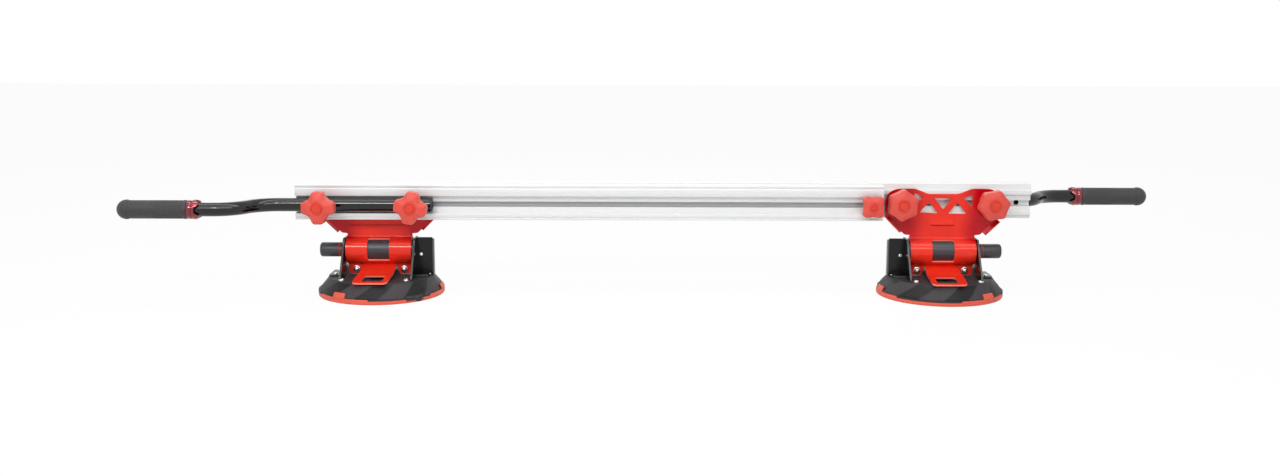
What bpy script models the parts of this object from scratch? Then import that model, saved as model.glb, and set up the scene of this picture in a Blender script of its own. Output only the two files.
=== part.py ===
"""Telescopic carrier for slabs: two aluminium rails back to back, each with a carry
handle in its outer channel and a hand-pumped vacuum cup under a red sheet bracket.

Metres, +Z up, X along the rails, floor at Z = 0.  The two halves are the same set of
pieces: one half is built in its own frame (rail on the +Y side, outward = +X) and the
other is that half turned 180 degrees about Z.
"""
import bpy
import bmesh
from math import cos, sin, pi, radians, atan2
from mathutils import Matrix, Vector

# Driving dimensions.
GAP = 0.0003                 # clearance left between neighbouring pieces
RAIL_MID_X = 0.0225          # middle of the closed rails, from the middle of the carrier

# rail section
RAIL_OUT = 0.6085            # rail end on its handle side, from the rails' middle
RAIL_IN = 0.3580             # rail end on the other side
RAIL_TOP = 0.1860
RAIL_BOTTOM = 0.1285
RAIL_DEPTH = 0.0320          # from the plane between the rails to the outer face
SLOT_Z = 0.1535              # height of the channels, the handle tube and all studs
LAND = 0.0046                # how far the two contact lips stand out of the inner face
LIP_GAP = 0.00015            # half the running gap between the two rails
OUTER_OPEN = 0.0142          # half height of the outer channel
OUTER_DEPTH = 0.0090
INNER_OPEN = 0.0147          # half height between the contact lips
LIP_TOP = 0.0218             # upper edge of the upper lip, above the slot
LIP_LOW = 0.0194             # lower edge of the lower lip, below the slot
T_MOUTH_OUT = 0.0043         # half height of the T-slot's mouth, outer side
T_MOUTH_IN = 0.0050          # the same, inner side
T_MOUTH_DEEP = 0.0025
T_HALF = 0.0075              # half height of the T-slot's cavity
T_DEEP = 0.0059              # its depth
WALL = 0.0025
END_HOLE = 0.0212            # hole through the web, from the rail's handle end
LOCK_HOLE = 0.0192           # hole for the lock stud, from its other end

# handle, measured inwards from the end of the grip
HANDLE_END_LEFT = 0.8780     # end of each grip, from the rails' middle
HANDLE_END_RIGHT = 0.8330
TUBE_R = 0.0111
TUBE_WALL = 0.0020
TUBE_OUT = 0.0105            # where the tube begins, inside the grip
GRIP_Y = 0.0909              # middle of the grip, from the plane between the rails
GRIP_LEN = 0.1135
GRIP_R = 0.0148
RING_LEN = 0.0185
BEND_START = 0.1500
BEND_END = 0.2460
TUBE_IN = 0.4925
HANDLE_KNOBS = (0.3162, 0.4650)

# knobs and studs
STUD_R = 0.0039
HOLE_R = 0.0043
HEAD = 0.0130                # square head of a T-bolt
STAR_R = 0.0267              # four-lobe knob of the handle, out to a lobe's flat end
STAR_LOBE = 0.0084           # half width of a lobe's end
STAR_HOLLOW = 0.0148         # deepest point between two lobes, along X and along Z
STAR_HIGH = 0.0355
LOCK_R = 0.0173              # small knob that locks the rails, out to its lobes
LOCK_HOLLOW = 0.0156         # the same, out to the middle of a side
LOCK_HIGH = 0.0225
WHEEL_R = 0.0268             # six-sided knob of the bracket, out to a corner
WHEEL_FLAT = 0.0230          # the same, out to the middle of a side
WHEEL_HIGH = 0.0305

# bracket and pump, measured from the middle of the cup
CUP_X_LEFT = 0.4755
CUP_X_RIGHT = 0.4610
KNOB_OUT = 0.0800            # outer bracket knob from the cup's middle
KNOB_IN = 0.0700             # inner one
SHEET_SHIFT = 0.0012         # middle of the sheets from the cup's middle, outwards
LEAN = 0.0300                # the truss plate falls outwards by this much of its run
SHEET = 0.0027
PUMP_Z = 0.0730
BARREL_R = 0.0189
SADDLE_R = 0.0192            # inside of the saddle
SADDLE_HALF = 0.0545
BOLT_X = 0.0400
BOLT_Z = 0.0402
TONGUE_REACH = 0.0925
TONGUE_BEND = 0.0400
TONGUE_TOP = 0.0340          # upper face of the tongue at its front edge
UPRIGHT_X = 0.0570           # inner face of each upright
UPRIGHT_T = 0.0030
UPRIGHT_TOP = 0.0945
FIN_OUT = 0.0890
PLUNGER_R = 0.0121
PLUNGER_OUT = 0.1005
PLUNGER_IN = 0.0100
PLUNGER_BORE = 0.0126
BORE_END = -0.0420            # blind end of the barrel's bore

# cup
PAD_R = 0.1040
PAD_TOP = 0.0085
PLATE_STEP = 0.0018          # how far the plate's rim stands back from the pad's edge
DECK_Z = 0.0310              # flat top of the black plate
DECK_R = 0.0870
PAD_TURN_LEFT = 56.0         # where the first pull tab stands, degrees
PAD_TURN_RIGHT = 68.0
VALVE_TURN = 133.0
VALVE_HALF = 0.0140          # half length of the release tab along the rim

PARTS = "vacuum_slab_carrier"

# Start from an empty scene.
for old in list(bpy.data.objects):
    bpy.data.objects.remove(old, do_unlink=True)
parts = bpy.data.collections.new(PARTS)
bpy.context.scene.collection.children.link(parts)


def linear(value):
    """One sRGB channel, 0 to 1, as linear light."""
    return value / 12.92 if value <= 0.04045 else ((value + 0.055) / 1.055) ** 2.4


def material(name, colour, roughness, metallic=0.0):
    mat = bpy.data.materials.new(name)
    mat.use_nodes = True
    shader = mat.node_tree.nodes["Principled BSDF"]
    rgb = [linear(int(colour[k:k + 2], 16) / 255.0) for k in (0, 2, 4)]
    shader.inputs["Base Color"].default_value = (*rgb, 1.0)
    shader.inputs["Roughness"].default_value = roughness
    shader.inputs["Metallic"].default_value = metallic
    mat.diffuse_color = (*rgb, 1.0)
    return mat


ALUMINIUM = material("satin anodised aluminium", "D9DADB", 0.35, 0.9)
STEEL_BLACK = material("black lacquered steel", "161618", 0.22)
STEEL_ZINC = material("zinc plated steel", "C9CBCE", 0.30, 1.0)
RED_COAT = material("red powder coat", "DB2A1E", 0.28)
RED_PLASTIC = material("coral red moulded plastic", "E2564A", 0.45)
RED_ANODISED = material("red anodised aluminium", "B01A2A", 0.25, 0.9)
RED_RUBBER = material("orange red pad rubber", "E25A48", 0.60)
GRIP_RUBBER = material("dark grey grip rubber", "434143", 0.75)
PUMP_PLASTIC = material("black pump plastic", "2E2D30", 0.40)
PLATE_PLASTIC = material("dark grey moulded plate", "3B3A3C", 0.55)
PLUG_PLASTIC = material("black plug plastic", "202022", 0.40)


# Modelling helpers.
def flat(obj):
    """Evaluated mesh of an object, doubles merged, normals outwards, object removed."""
    graph = bpy.context.evaluated_depsgraph_get()
    mesh = bpy.data.meshes.new_from_object(obj.evaluated_get(graph), depsgraph=graph)
    mesh.transform(obj.matrix_world)
    bm = bmesh.new()
    bm.from_mesh(mesh)
    bmesh.ops.remove_doubles(bm, verts=bm.verts, dist=2e-6)
    bmesh.ops.recalc_face_normals(bm, faces=bm.faces)
    bm.to_mesh(mesh)
    bm.free()
    bpy.data.objects.remove(obj, do_unlink=True)
    return mesh


def stand(mesh):
    """A temporary object round a mesh."""
    obj = bpy.data.objects.new("work", mesh)
    parts.objects.link(obj)
    bpy.context.view_layer.update()
    return obj


def combine(mesh, tool, operation):
    """Mesh after a Boolean with the tool mesh."""
    one = stand(mesh)
    two = stand(tool)
    mod = one.modifiers.new("boolean", "BOOLEAN")
    mod.operation = operation
    mod.object = two
    mod.solver = "EXACT"
    bpy.context.view_layer.update()
    out = flat(one)
    bpy.data.objects.remove(two, do_unlink=True)
    return out


def fuse(mesh, *tools):
    for tool in tools:
        mesh = combine(mesh, tool, "UNION")
    return mesh


def cut(mesh, *tools):
    for tool in tools:
        mesh = combine(mesh, tool, "DIFFERENCE")
    return mesh


AXES = {
    "X": Matrix(((0, 0, 1, 0), (1, 0, 0, 0), (0, 1, 0, 0), (0, 0, 0, 1))),
    "Y": Matrix(((1, 0, 0, 0), (0, 0, -1, 0), (0, 1, 0, 0), (0, 0, 0, 1))),
    "Z": Matrix.Identity(4),
}


def slab(loops, axis, low, high):
    """Flat outline (first loop) with holes, as a plate across the axis from low to high.
    Loops are (y, z) for X, (x, z) for Y and (x, y) for Z."""
    curve = bpy.data.curves.new("outline", "CURVE")
    curve.dimensions = "2D"
    curve.fill_mode = "BOTH"
    curve.extrude = (high - low) / 2
    for loop in loops:
        spline = curve.splines.new("POLY")
        spline.points.add(len(loop) - 1)
        for point, (a, b) in zip(spline.points, loop):
            point.co = (a, b, 0, 1)
        spline.use_cyclic_u = True
    obj = bpy.data.objects.new("outline", curve)
    parts.objects.link(obj)
    middle = (high + low) / 2
    shift = {"X": (middle, 0, 0), "Y": (0, middle, 0), "Z": (0, 0, middle)}[axis]
    obj.matrix_world = Matrix.Translation(shift) @ AXES[axis]
    bpy.context.view_layer.update()
    return flat(obj)


def turned(profile, steps, closed=False):
    """Profile of (radius, height) turned about Z; its outer side runs top to bottom."""
    mesh = bpy.data.meshes.new("profile")
    count = len(profile)
    edges = [(k, k + 1) for k in range(count - 1)]
    if closed:
        edges.append((count - 1, 0))
    mesh.from_pydata([(r, 0, z) for r, z in profile], edges, [])
    obj = stand(mesh)
    mod = obj.modifiers.new("screw", "SCREW")
    mod.steps = steps
    mod.render_steps = steps
    mod.use_merge_vertices = True
    mod.merge_threshold = 0.00001
    bpy.context.view_layer.update()
    return flat(obj)


def rod(radius, low, high, steps, axis, at):
    """Cylinder along an axis; at gives the two other coordinates in order."""
    mesh = turned([(0, high), (radius, high), (radius, low), (0, low)], steps)
    a, b = at
    if axis == "Y":
        mesh.transform(Matrix.Translation((a, 0, b)) @ Matrix.Rotation(-pi / 2, 4, "X"))
    elif axis == "X":
        mesh.transform(Matrix.Translation((0, a, b)) @ Matrix.Rotation(pi / 2, 4, "Y"))
    else:
        mesh.transform(Matrix.Translation((a, b, 0)))
    return mesh


def box(low, high):
    """Box between two corners."""
    bm = bmesh.new()
    bmesh.ops.create_cube(bm, size=1.0)
    mesh = bpy.data.meshes.new("box")
    bm.to_mesh(mesh)
    bm.free()
    size = [h - l for l, h in zip(low, high)]
    middle = [(h + l) / 2 for l, h in zip(low, high)]
    mesh.transform(Matrix.Translation(middle) @ Matrix.Diagonal((*size, 1.0)))
    return mesh


def pipe(points, radius, resolution):
    """Round bar along a line of points."""
    curve = bpy.data.curves.new("pipe", "CURVE")
    curve.dimensions = "3D"
    curve.bevel_depth = radius
    curve.bevel_resolution = resolution
    curve.use_fill_caps = True
    spline = curve.splines.new("POLY")
    spline.points.add(len(points) - 1)
    for point, co in zip(spline.points, points):
        point.co = (*co, 1)
    obj = bpy.data.objects.new("pipe", curve)
    parts.objects.link(obj)
    bpy.context.view_layer.update()
    return flat(obj)


def circle(x, y, radius, count):
    return [(x + radius * cos(2 * pi * k / count), y + radius * sin(2 * pi * k / count))
            for k in range(count)]


def mirrored(points):
    """Right half of a symmetric outline, bottom to top, closed by its mirror image."""
    return points + [(-x, z) for x, z in reversed(points)]


def parent_empty(name, parent, location, angle=0.0):
    empty = bpy.data.objects.new(name, None)
    parts.objects.link(empty)
    empty.parent = parent
    empty.location = location
    empty.rotation_euler = (0, 0, angle)
    return empty


def place(name, mesh, mat, parent, location=(0, 0, 0), rotation=(0, 0, 0)):
    """A named piece: mesh in its parent's frame, with its origin at the location."""
    obj = bpy.data.objects.new(name, mesh)
    parts.objects.link(obj)
    obj.parent = parent
    obj.location = location
    obj.rotation_euler = rotation
    if not mesh.materials:
        mesh.materials.append(mat)
        mesh.shade_smooth()
        mesh.set_sharp_from_angle(angle=radians(32))
    return obj


# Rail.
def rail_mesh():
    """Extrusion: tube channel and T-slot outside, contact lips and T-slot inside."""
    zc = SLOT_Z
    face = RAIL_DEPTH
    floor = RAIL_DEPTH - OUTER_DEPTH
    cave = floor - T_MOUTH_DEEP
    in_cave = LAND + T_MOUTH_DEEP
    top, low = RAIL_TOP, RAIL_BOTTOM
    outline = [
        (LAND, low), (face, low), (face, zc - OUTER_OPEN), (floor, zc - OUTER_OPEN),
        (floor, zc - T_MOUTH_OUT), (cave, zc - T_MOUTH_OUT), (cave, zc - T_HALF),
        (cave - T_DEEP, zc - T_HALF), (cave - T_DEEP, zc + T_HALF), (cave, zc + T_HALF),
        (cave, zc + T_MOUTH_OUT), (floor, zc + T_MOUTH_OUT), (floor, zc + OUTER_OPEN),
        (face, zc + OUTER_OPEN), (face, top), (LAND, top),
        (LAND, zc + LIP_TOP), (LIP_GAP, zc + LIP_TOP), (LIP_GAP, zc + INNER_OPEN),
        (LAND, zc + INNER_OPEN), (LAND, zc + T_MOUTH_IN), (in_cave, zc + T_MOUTH_IN),
        (in_cave, zc + T_HALF), (in_cave + T_DEEP, zc + T_HALF),
        (in_cave + T_DEEP, zc - T_HALF), (in_cave, zc - T_HALF),
        (in_cave, zc - T_MOUTH_IN), (LAND, zc - T_MOUTH_IN), (LAND, zc - INNER_OPEN),
        (LIP_GAP, zc - INNER_OPEN), (LIP_GAP, zc - LIP_LOW), (LAND, zc - LIP_LOW)]
    near = LAND + WALL
    step = floor - WALL
    far = face - WALL
    upper = [(near, zc + T_HALF + WALL), (step, zc + T_HALF + WALL),
             (step, zc + OUTER_OPEN + WALL), (far, zc + OUTER_OPEN + WALL),
             (far, top - WALL), (near, top - WALL)]
    lower = [(near, low + WALL), (far, low + WALL), (far, zc - OUTER_OPEN - WALL),
             (step, zc - OUTER_OPEN - WALL), (step, zc - T_HALF - WALL),
             (near, zc - T_HALF - WALL)]
    mesh = slab([outline, upper, lower], "X", -RAIL_IN, RAIL_OUT)
    web = [rod(HOLE_R, 0.008, 0.019, 16, "Y", (x, zc))
           for x in (RAIL_OUT - END_HOLE, -RAIL_IN + LOCK_HOLE)]
    return cut(mesh, *web)


# Handle.
def handle_path(first, last):
    """Middle line of the tube from one distance to another, measured from the grip end."""
    seat = RAIL_DEPTH - OUTER_DEPTH + TUBE_R + GAP
    length = BEND_END - BEND_START
    offset = GRIP_Y - seat
    radius = (length ** 2 + offset ** 2) / (4 * offset)
    angle = atan2(length / 2, radius - offset / 2)
    line = [(-first, GRIP_Y, 0.0)]
    steps = 5
    for k in range(steps + 1):
        a = angle * k / steps
        line.append((-BEND_START - radius * sin(a), GRIP_Y - radius * (1 - cos(a)), 0.0))
    for k in range(steps - 1, -1, -1):
        a = angle * k / steps
        line.append((-BEND_END + radius * sin(a), seat + radius * (1 - cos(a)), 0.0))
    line.append((-last, seat, 0.0))
    return line


def handle_tube_mesh():
    """Bent tube with a cross hole for each stud; its far end is open for the plug."""
    outer = pipe(handle_path(TUBE_OUT, TUBE_IN), TUBE_R, 5)
    inner = pipe(handle_path(TUBE_OUT - 0.01, TUBE_IN + 0.01), TUBE_R - TUBE_WALL, 3)
    holes = [rod(HOLE_R, 0.010, 0.060, 12, "Y", (-x, 0)) for x in HANDLE_KNOBS]
    return cut(outer, inner, *holes)


def grip_mesh():
    """Rubber sleeve with a closed, slightly swollen end, about its own axis (Z, end up)."""
    bore = TUBE_R + GAP
    ball = GRIP_R + 0.0010
    dome = [(ball * sin(radians(15 * k)), -ball * (1 - cos(radians(15 * k)))) for k in range(7)]
    profile = dome + [(ball, -0.0182), (GRIP_R, -0.0200), (GRIP_R, -GRIP_LEN + 0.0030),
               (0.0140, -GRIP_LEN), (bore, -GRIP_LEN), (bore, GAP - TUBE_OUT), (0, GAP - TUBE_OUT)]
    return turned(profile, 20)


def grip_ring_mesh():
    """Clamping ring between grip and bare tube."""
    bore = TUBE_R + GAP
    top = -GRIP_LEN - GAP
    low = top - RING_LEN
    profile = [(0.0146, top), (0.0160, top - 0.0015), (0.0160, low + 0.0015),
               (0.0146, low), (bore, low), (bore, top)]
    return turned(profile, 20, closed=True)


def tube_plug_mesh():
    """Plug in the tube's inner end: flange outside, spigot inside (Z down the tube)."""
    spigot = TUBE_R - TUBE_WALL - 2 * GAP
    profile = [(0, 0.0140), (spigot - 0.001, 0.0140), (spigot, 0.0125), (spigot, -GAP),
               (TUBE_R, -GAP), (TUBE_R, -0.0022), (TUBE_R - 0.001, -0.0032),
               (0, -0.0032)]
    return turned(profile, 20)


# Knobs and studs.
def repeated(points, times, turn=0.0):
    """Outline made of the same run of (x, z) points turned about the middle."""
    out = []
    for k in range(times):
        a = turn - 2 * pi * k / times
        out += [(x * cos(a) - z * sin(a), x * sin(a) + z * cos(a)) for x, z in points]
    return out


def star_outline():
    """Four lobes with flat ends and rounded corners, and rounded hollows between."""
    r, w, h = STAR_R, STAR_LOBE, STAR_HOLLOW
    near = [(w - 0.0025, r), (w, r - 0.0020), (h - 0.0026, h + 0.0052)]
    far = [(z, x) for x, z in reversed(near)]
    return repeated(near + [(h, h)] + far, 4)


def lock_outline():
    """Square with rounded lobes at its corners and shallow hollows in its sides."""
    r, h = LOCK_R, LOCK_HOLLOW
    near = [(0.0, h), (0.0040, h + 0.0005), (0.0078, r - 0.0001), (0.0110, r - 0.0002)]
    far = [(z, x) for x, z in reversed(near[1:])]
    return repeated(near + [(0.0151, 0.0151)] + far, 4)


def wheel_outline():
    """Six sides with slight hollows, meeting at rounded corners."""
    r, f = WHEEL_R, WHEEL_FLAT
    return repeated([(-0.0024, r - 0.0010), (0.0, r), (0.0024, r - 0.0010),
                     (f * 0.5, f * 0.866)], 6)


def knob_mesh(outline, radius, collar, neck, height, cap):
    """Knob about Z, its seat at 0 and its face up: collar, lobed head, round cap and a
    blind bore for the stud."""
    edge = 0.0022
    outline = [(x * (1 - edge / radius), y * (1 - edge / radius)) for x, y in outline]
    curve = bpy.data.curves.new("head", "CURVE")
    curve.dimensions = "2D"
    curve.fill_mode = "BOTH"
    curve.extrude = (height - neck) / 2 - edge
    curve.bevel_depth = edge
    curve.bevel_resolution = 0
    spline = curve.splines.new("POLY")
    spline.points.add(len(outline) - 1)
    for point, (a, b) in zip(spline.points, outline):
        point.co = (a, b, 0, 1)
    spline.use_cyclic_u = True
    obj = bpy.data.objects.new("head", curve)
    parts.objects.link(obj)
    obj.location = (0, 0, (height + neck) / 2)
    bpy.context.view_layer.update()
    head = flat(obj)
    hub = turned([(0, height + 0.0018), (cap - 0.001, height + 0.0018), (cap, height + 0.0010),
                  (cap, neck + 0.004), (collar, neck + 0.0015), (collar, 0), (0, 0)], 16)
    bore = rod(STUD_R + GAP, -0.002, height * 0.72, 12, "Z", (0, 0))
    return cut(fuse(head, hub), bore)


def stud_mesh(head_low, head_high, tip):
    """T-bolt along +Y from its square head to the knob; origin on its axis."""
    half = HEAD / 2
    head = box((-half, head_low, -half), (half, head_high, half))
    overlap = (head_low + head_high) / 2
    low, high = sorted((overlap, tip))
    return fuse(head, rod(STUD_R, low, high, 12, "Y", (0, 0)))


# Bracket sheets.
def saddle_profile(side, top):
    """Section (y, z) of one sheet: flat above, half round the barrel, flat ear below."""
    near = GAP / 2
    far = near + SHEET
    outer = SADDLE_R + SHEET
    steps = 14
    start = radians(12)
    line = [(far, top), (far, PUMP_Z + outer + 0.0022)]
    for k in range(steps + 1):
        a = start + (pi - 2 * start) * k / steps
        line.append((outer * sin(a), PUMP_Z + outer * cos(a)))
    line += [(far, PUMP_Z - outer - 0.0022), (far, 0.028), (near, 0.028)]
    for k in range(steps + 1):
        a = pi - 0.01 - (pi - 0.02) * k / steps
        line.append((max(near, SADDLE_R * sin(a)), PUMP_Z + SADDLE_R * cos(a)))
    line.append((near, top))
    return [(side * y, z) for y, z in line]


def lower_outline():
    """Right half of the front outline from the tongue's root up to the neck."""
    return [(0.0290, 0.0470), (0.0290, 0.0390), (0.0325, 0.0345), (0.0350, 0.0328),
            (0.0490, 0.0328), (0.0522, 0.0355), (0.0530, 0.0500), (SADDLE_HALF, 0.0525),
            (SADDLE_HALF, 0.0962), (0.0530, 0.0985)]


def window():
    w, low, high, r = 0.0183, 0.0578, 0.0920, 0.0020
    return [(-w + r, low), (w - r, low), (w, low + r), (w, high - r), (w - r, high),
            (-w + r, high), (-w, high - r), (-w, low + r)]


def tongue_mesh(side):
    """Tray under the saddle: a slope, then a nearly level frame round a wide window."""
    reach, bend, front = TONGUE_REACH, TONGUE_BEND, TONGUE_TOP
    thick = 0.0026
    section = [(0.0008, 0.0486), (0.0028, 0.0498), (bend, 0.0374), (reach, front),
               (reach, front - thick), (bend - 0.0008, 0.0374 - thick), (0.0026, 0.0468)]
    mesh = slab([[(side * y, z) for y, z in section]], "X", -0.0285, 0.0285)
    y0, y1 = sorted((side * 0.0530, side * 0.0795))
    return cut(mesh, box((-0.0180, y0, 0.030), (0.0180, y1, 0.050)))


def flange_mesh(side):
    """Strip bent 45 degrees along the sloping lower edge of the plate."""
    start = Vector((0.0665, 0.1078 - side * LEAN * 0.0665))
    stop = Vector((0.0900, 0.1310 - side * LEAN * 0.0900))
    along = (stop - start).normalized()
    out = Vector((along.y, -along.x))
    e = Vector((0.7071, -0.7071))
    m = Vector((0.7071, 0.7071))
    s = Vector((-0.0010, -0.0013))
    t = 0.00115
    quad = [s + m * t, s + e * 0.0092 + m * t, s + e * 0.0092 - m * t, s - m * t]
    mesh = slab([[(q.x, q.y) for q in quad]], "Z", 0, (stop - start).length)
    # outline axes: x runs out of the edge in the plate's plane, y is the depth
    place_it = Matrix(((out.x * side, 0, along.x * side, start.x * side),
                       (0, 1, 0, 0),
                       (out.y, 0, along.y, start.y), (0, 0, 0, 1)))
    mesh.transform(place_it)
    return mesh


def leaning(points):
    """The truss plate's points, lowered outwards."""
    return [(x, z - LEAN * x) if z > 0.1015 else (x, z) for x, z in points]


def bracket_plate_mesh():
    """Sheet behind the knobs: truss plate on the rail, neck, half saddle and tongue."""
    right = lower_outline() + [
        (0.0535, 0.1000), (0.0550, 0.1010), (0.0600, 0.1026), (0.0630, 0.1030),
        (0.0920, 0.1310), (0.0955, 0.1320), (0.0965, 0.1340), (0.0965, 0.1570),
        (0.0950, 0.1665), (0.0908, 0.1738), (0.0848, 0.1784), (0.0770, 0.1804),
        (0.0505, 0.1800), (0.0460, 0.1790), (0.0270, 0.1710), (0.0235, 0.1702)]
    holes = [[(-0.0140, 0.1621), (0.0140, 0.1621), (0.0145, 0.1609), (0.0010, 0.1448),
              (-0.0010, 0.1448), (-0.0145, 0.1609)]]
    for s in (-1, 1):
        holes.append([(s * 0.0100, 0.1368), (s * 0.0375, 0.1376), (s * 0.0383, 0.1388),
                      (s * 0.0247, 0.1544), (s * 0.0230, 0.1544), (s * 0.0092, 0.1382)])
        holes.append([(s * 0.0485, 0.1512), (s * 0.0485, 0.1682), (s * 0.0472, 0.1689),
                      (s * 0.0340, 0.1638), (s * 0.0338, 0.1622), (s * 0.0475, 0.1506)])
    holes = [leaning(hole) for hole in holes] + [window()]
    studs = (KNOB_OUT - SHEET_SHIFT, -KNOB_IN - SHEET_SHIFT)
    holes += [circle(x, SLOT_Z, HOLE_R, 16) for x in studs]
    holes += [circle(s * BOLT_X, BOLT_Z, 0.0033, 12) for s in (-1, 1)]
    profile = slab([saddle_profile(-1, 0.200)], "X", -0.12, 0.12)
    shape = slab([leaning(mirrored(right))] + holes, "Y", -0.05, 0.02)
    mesh = combine(profile, shape, "INTERSECT")
    boss_low, boss_high = -(SHEET + GAP / 2) - 0.0025, -0.0012
    for x in studs:
        boss = slab([circle(x, SLOT_Z, 0.0215, 28), circle(x, SLOT_Z, HOLE_R, 16)],
                    "Y", boss_low, boss_high)
        mesh = fuse(mesh, boss)
    mesh = fuse(mesh, flange_mesh(-1), flange_mesh(1), tongue_mesh(-1),
                box((-0.0200, -0.0014, 0.1172), (0.0200, 0.0035, 0.1278)))
    return cut(mesh, box((-0.0200, -0.0060, 0.1174), (0.0200, -0.0018, 0.1276)))


def bracket_clamp_mesh():
    """Facing sheet: short flat above, half saddle and tongue."""
    right = lower_outline() + [(0.0530, 0.1120), (0.0510, 0.1140)]
    holes = [window()]
    for s in (-1, 1):
        holes.append(circle(s * BOLT_X, BOLT_Z, 0.0033, 12))
    profile = slab([saddle_profile(1, 0.200)], "X", -0.12, 0.12)
    shape = slab([mirrored(right)] + holes, "Y", -0.02, 0.05)
    mesh = combine(profile, shape, "INTERSECT")
    return fuse(mesh, tongue_mesh(1))


def clamp_bolt_mesh():
    """Hexagon bolt and nut through both ears, along Y; one body."""
    face = SHEET + GAP / 2 + GAP
    shaft = rod(0.0029, -face - 0.0050, face + 0.0062, 12, "Y", (0, 0))
    hexagon = circle(0, 0, 0.0056, 6)
    head = slab([hexagon], "Y", -face - 0.0044, -face)
    nut = slab([hexagon], "Y", face, face + 0.0048)
    return fuse(shaft, head, nut)


# Pump and cup.
def barrel_mesh():
    """Pump cylinder with a blind bore for the plunger, axis Z, open end up."""
    half = UPRIGHT_X - GAP
    edge = 0.0010
    profile = [(0, half), (BARREL_R - edge, half), (BARREL_R, half - edge),
               (BARREL_R, -half + edge), (BARREL_R - edge, -half), (0, -half)]
    bore = rod(PLUNGER_BORE, BORE_END, half + 0.01, 24, "Z", (0, 0))
    return cut(turned(profile, 28), bore)


def plunger_mesh():
    """Plunger, axis Z, pushed from its rounded upper end."""
    r = PLUNGER_R
    profile = [(0, PLUNGER_OUT), (r - 0.0030, PLUNGER_OUT - 0.0002), (r - 0.0010, PLUNGER_OUT - 0.0012),
               (r, PLUNGER_OUT - 0.0034), (r, PLUNGER_IN + 0.001), (r - 0.001, PLUNGER_IN),
               (0, PLUNGER_IN)]
    return turned(profile, 20)


def upright_outline():
    foot = DECK_Z + GAP
    return [(0.0560, foot), (0.0560, foot + 0.0035), (0.0205, UPRIGHT_TOP - 0.0100),
            (0.0178, UPRIGHT_TOP - 0.0035), (0.0140, UPRIGHT_TOP)]


def upright_outer_mesh():
    """Plate across the plunger's side, with a hole for the plunger and a turned foot."""
    foot = DECK_Z + GAP
    x0, x1 = UPRIGHT_X, UPRIGHT_X + UPRIGHT_T
    plate = slab([mirrored(upright_outline()), circle(0, PUMP_Z, PLUNGER_R + 0.0008, 24)],
                 "X", x0, x1)
    pad = slab([[(x1 - 0.001, -0.0220), (0.0800, -0.0220), (0.0835, -0.0180), (0.0835, 0.0180),
                 (0.0800, 0.0220), (x1 - 0.001, 0.0220)]], "Z", foot, foot + UPRIGHT_T)
    return fuse(plate, pad)


def upright_inner_mesh():
    """Plate across the blind side, with a standing fin, its rim and a small hole."""
    foot = DECK_Z + GAP
    x0, x1 = -UPRIGHT_X - UPRIGHT_T, -UPRIGHT_X
    plate = slab([mirrored(upright_outline())], "X", x0, x1)
    fin = slab([[(-FIN_OUT + 0.001, foot), (x0 + 0.001, foot), (x0 + 0.001, UPRIGHT_TOP - 0.0004),
                 (-FIN_OUT + 0.003, UPRIGHT_TOP - 0.0004), (-FIN_OUT + 0.001, UPRIGHT_TOP - 0.0024)],
                circle(-0.0670, 0.0655, 0.0026, 12)], "Y", -0.0013, 0.0013)
    rim = slab([[(-FIN_OUT, foot + 0.0002), (-FIN_OUT + 0.0026, foot + 0.0002),
                 (-FIN_OUT + 0.0036, UPRIGHT_TOP - 0.0030), (-FIN_OUT + 0.0010, UPRIGHT_TOP - 0.0030)]],
               "Y", -0.0055, 0.0055)
    pad = slab([[(-0.0800, -0.0200), (x0 + 0.001, -0.0220), (x0 + 0.001, 0.0220),
                 (-0.0800, 0.0200)]], "Z", foot + 0.0001, foot + UPRIGHT_T)
    return fuse(plate, pad, fin, rim)


def plate_mesh():
    """Black plate: flat deck, sloping flank and thin rim."""
    rim = PAD_TOP + GAP
    r = PAD_R - PLATE_STEP
    profile = [(0, DECK_Z), (DECK_R, DECK_Z), (DECK_R + 0.0033, DECK_Z - 0.0023),
               (r - 0.0057, 0.0188), (r, rim + 0.0022), (r, rim), (0, rim)]
    return turned(profile, 44)


def pad_mesh(turn):
    """Rubber pad: lip on the floor, hollow face, three pull tabs up its side."""
    r, top = PAD_R, PAD_TOP
    profile = [(0, top), (r - 0.0045, top), (r - 0.0012, top - 0.0003), (r, top - 0.0017),
               (r, 0.0012), (r - 0.0010, 0), (r - 0.0055, 0), (r - 0.0078, top - 0.0037),
               (0, top - 0.0033)]
    mesh = turned(profile, 44)
    tab = [(r - 0.0040, top - 0.0025), (r - 0.0010, top - 0.0025), (r + 0.0003, top + 0.0001),
           (r + 0.0003, top + 0.0031), (r - 0.0034, top + 0.0087), (r - 0.0048, top + 0.0084),
           (r - 0.0012, top + 0.0028), (r - 0.0012, top - 0.0003), (r - 0.0040, top - 0.0005)]
    for k in range(3):
        piece = slab([tab], "Y", -0.0105, 0.0105)
        piece.transform(Matrix.Rotation(radians(turn + 120 * k), 4, "Z"))
        mesh = fuse(mesh, piece)
    return mesh


def valve_mesh():
    """Release tab over the pad's edge; lifting it lets the air back in."""
    r, top = PAD_R, PAD_TOP
    section = [(r - 0.0010, top + 0.0007), (r + 0.0009, top + GAP), (r + 0.0009, 0.0024),
               (r + 0.0022, 0.0018), (r + 0.0036, 0.0030), (r + 0.0036, top + 0.0010),
               (r + 0.0012, top + 0.0040), (r - 0.0010, top + 0.0040)]
    mesh = slab([section], "Y", -VALVE_HALF, VALVE_HALF)
    mesh.transform(Matrix.Rotation(radians(VALVE_TURN), 4, "Z"))
    return mesh


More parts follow.
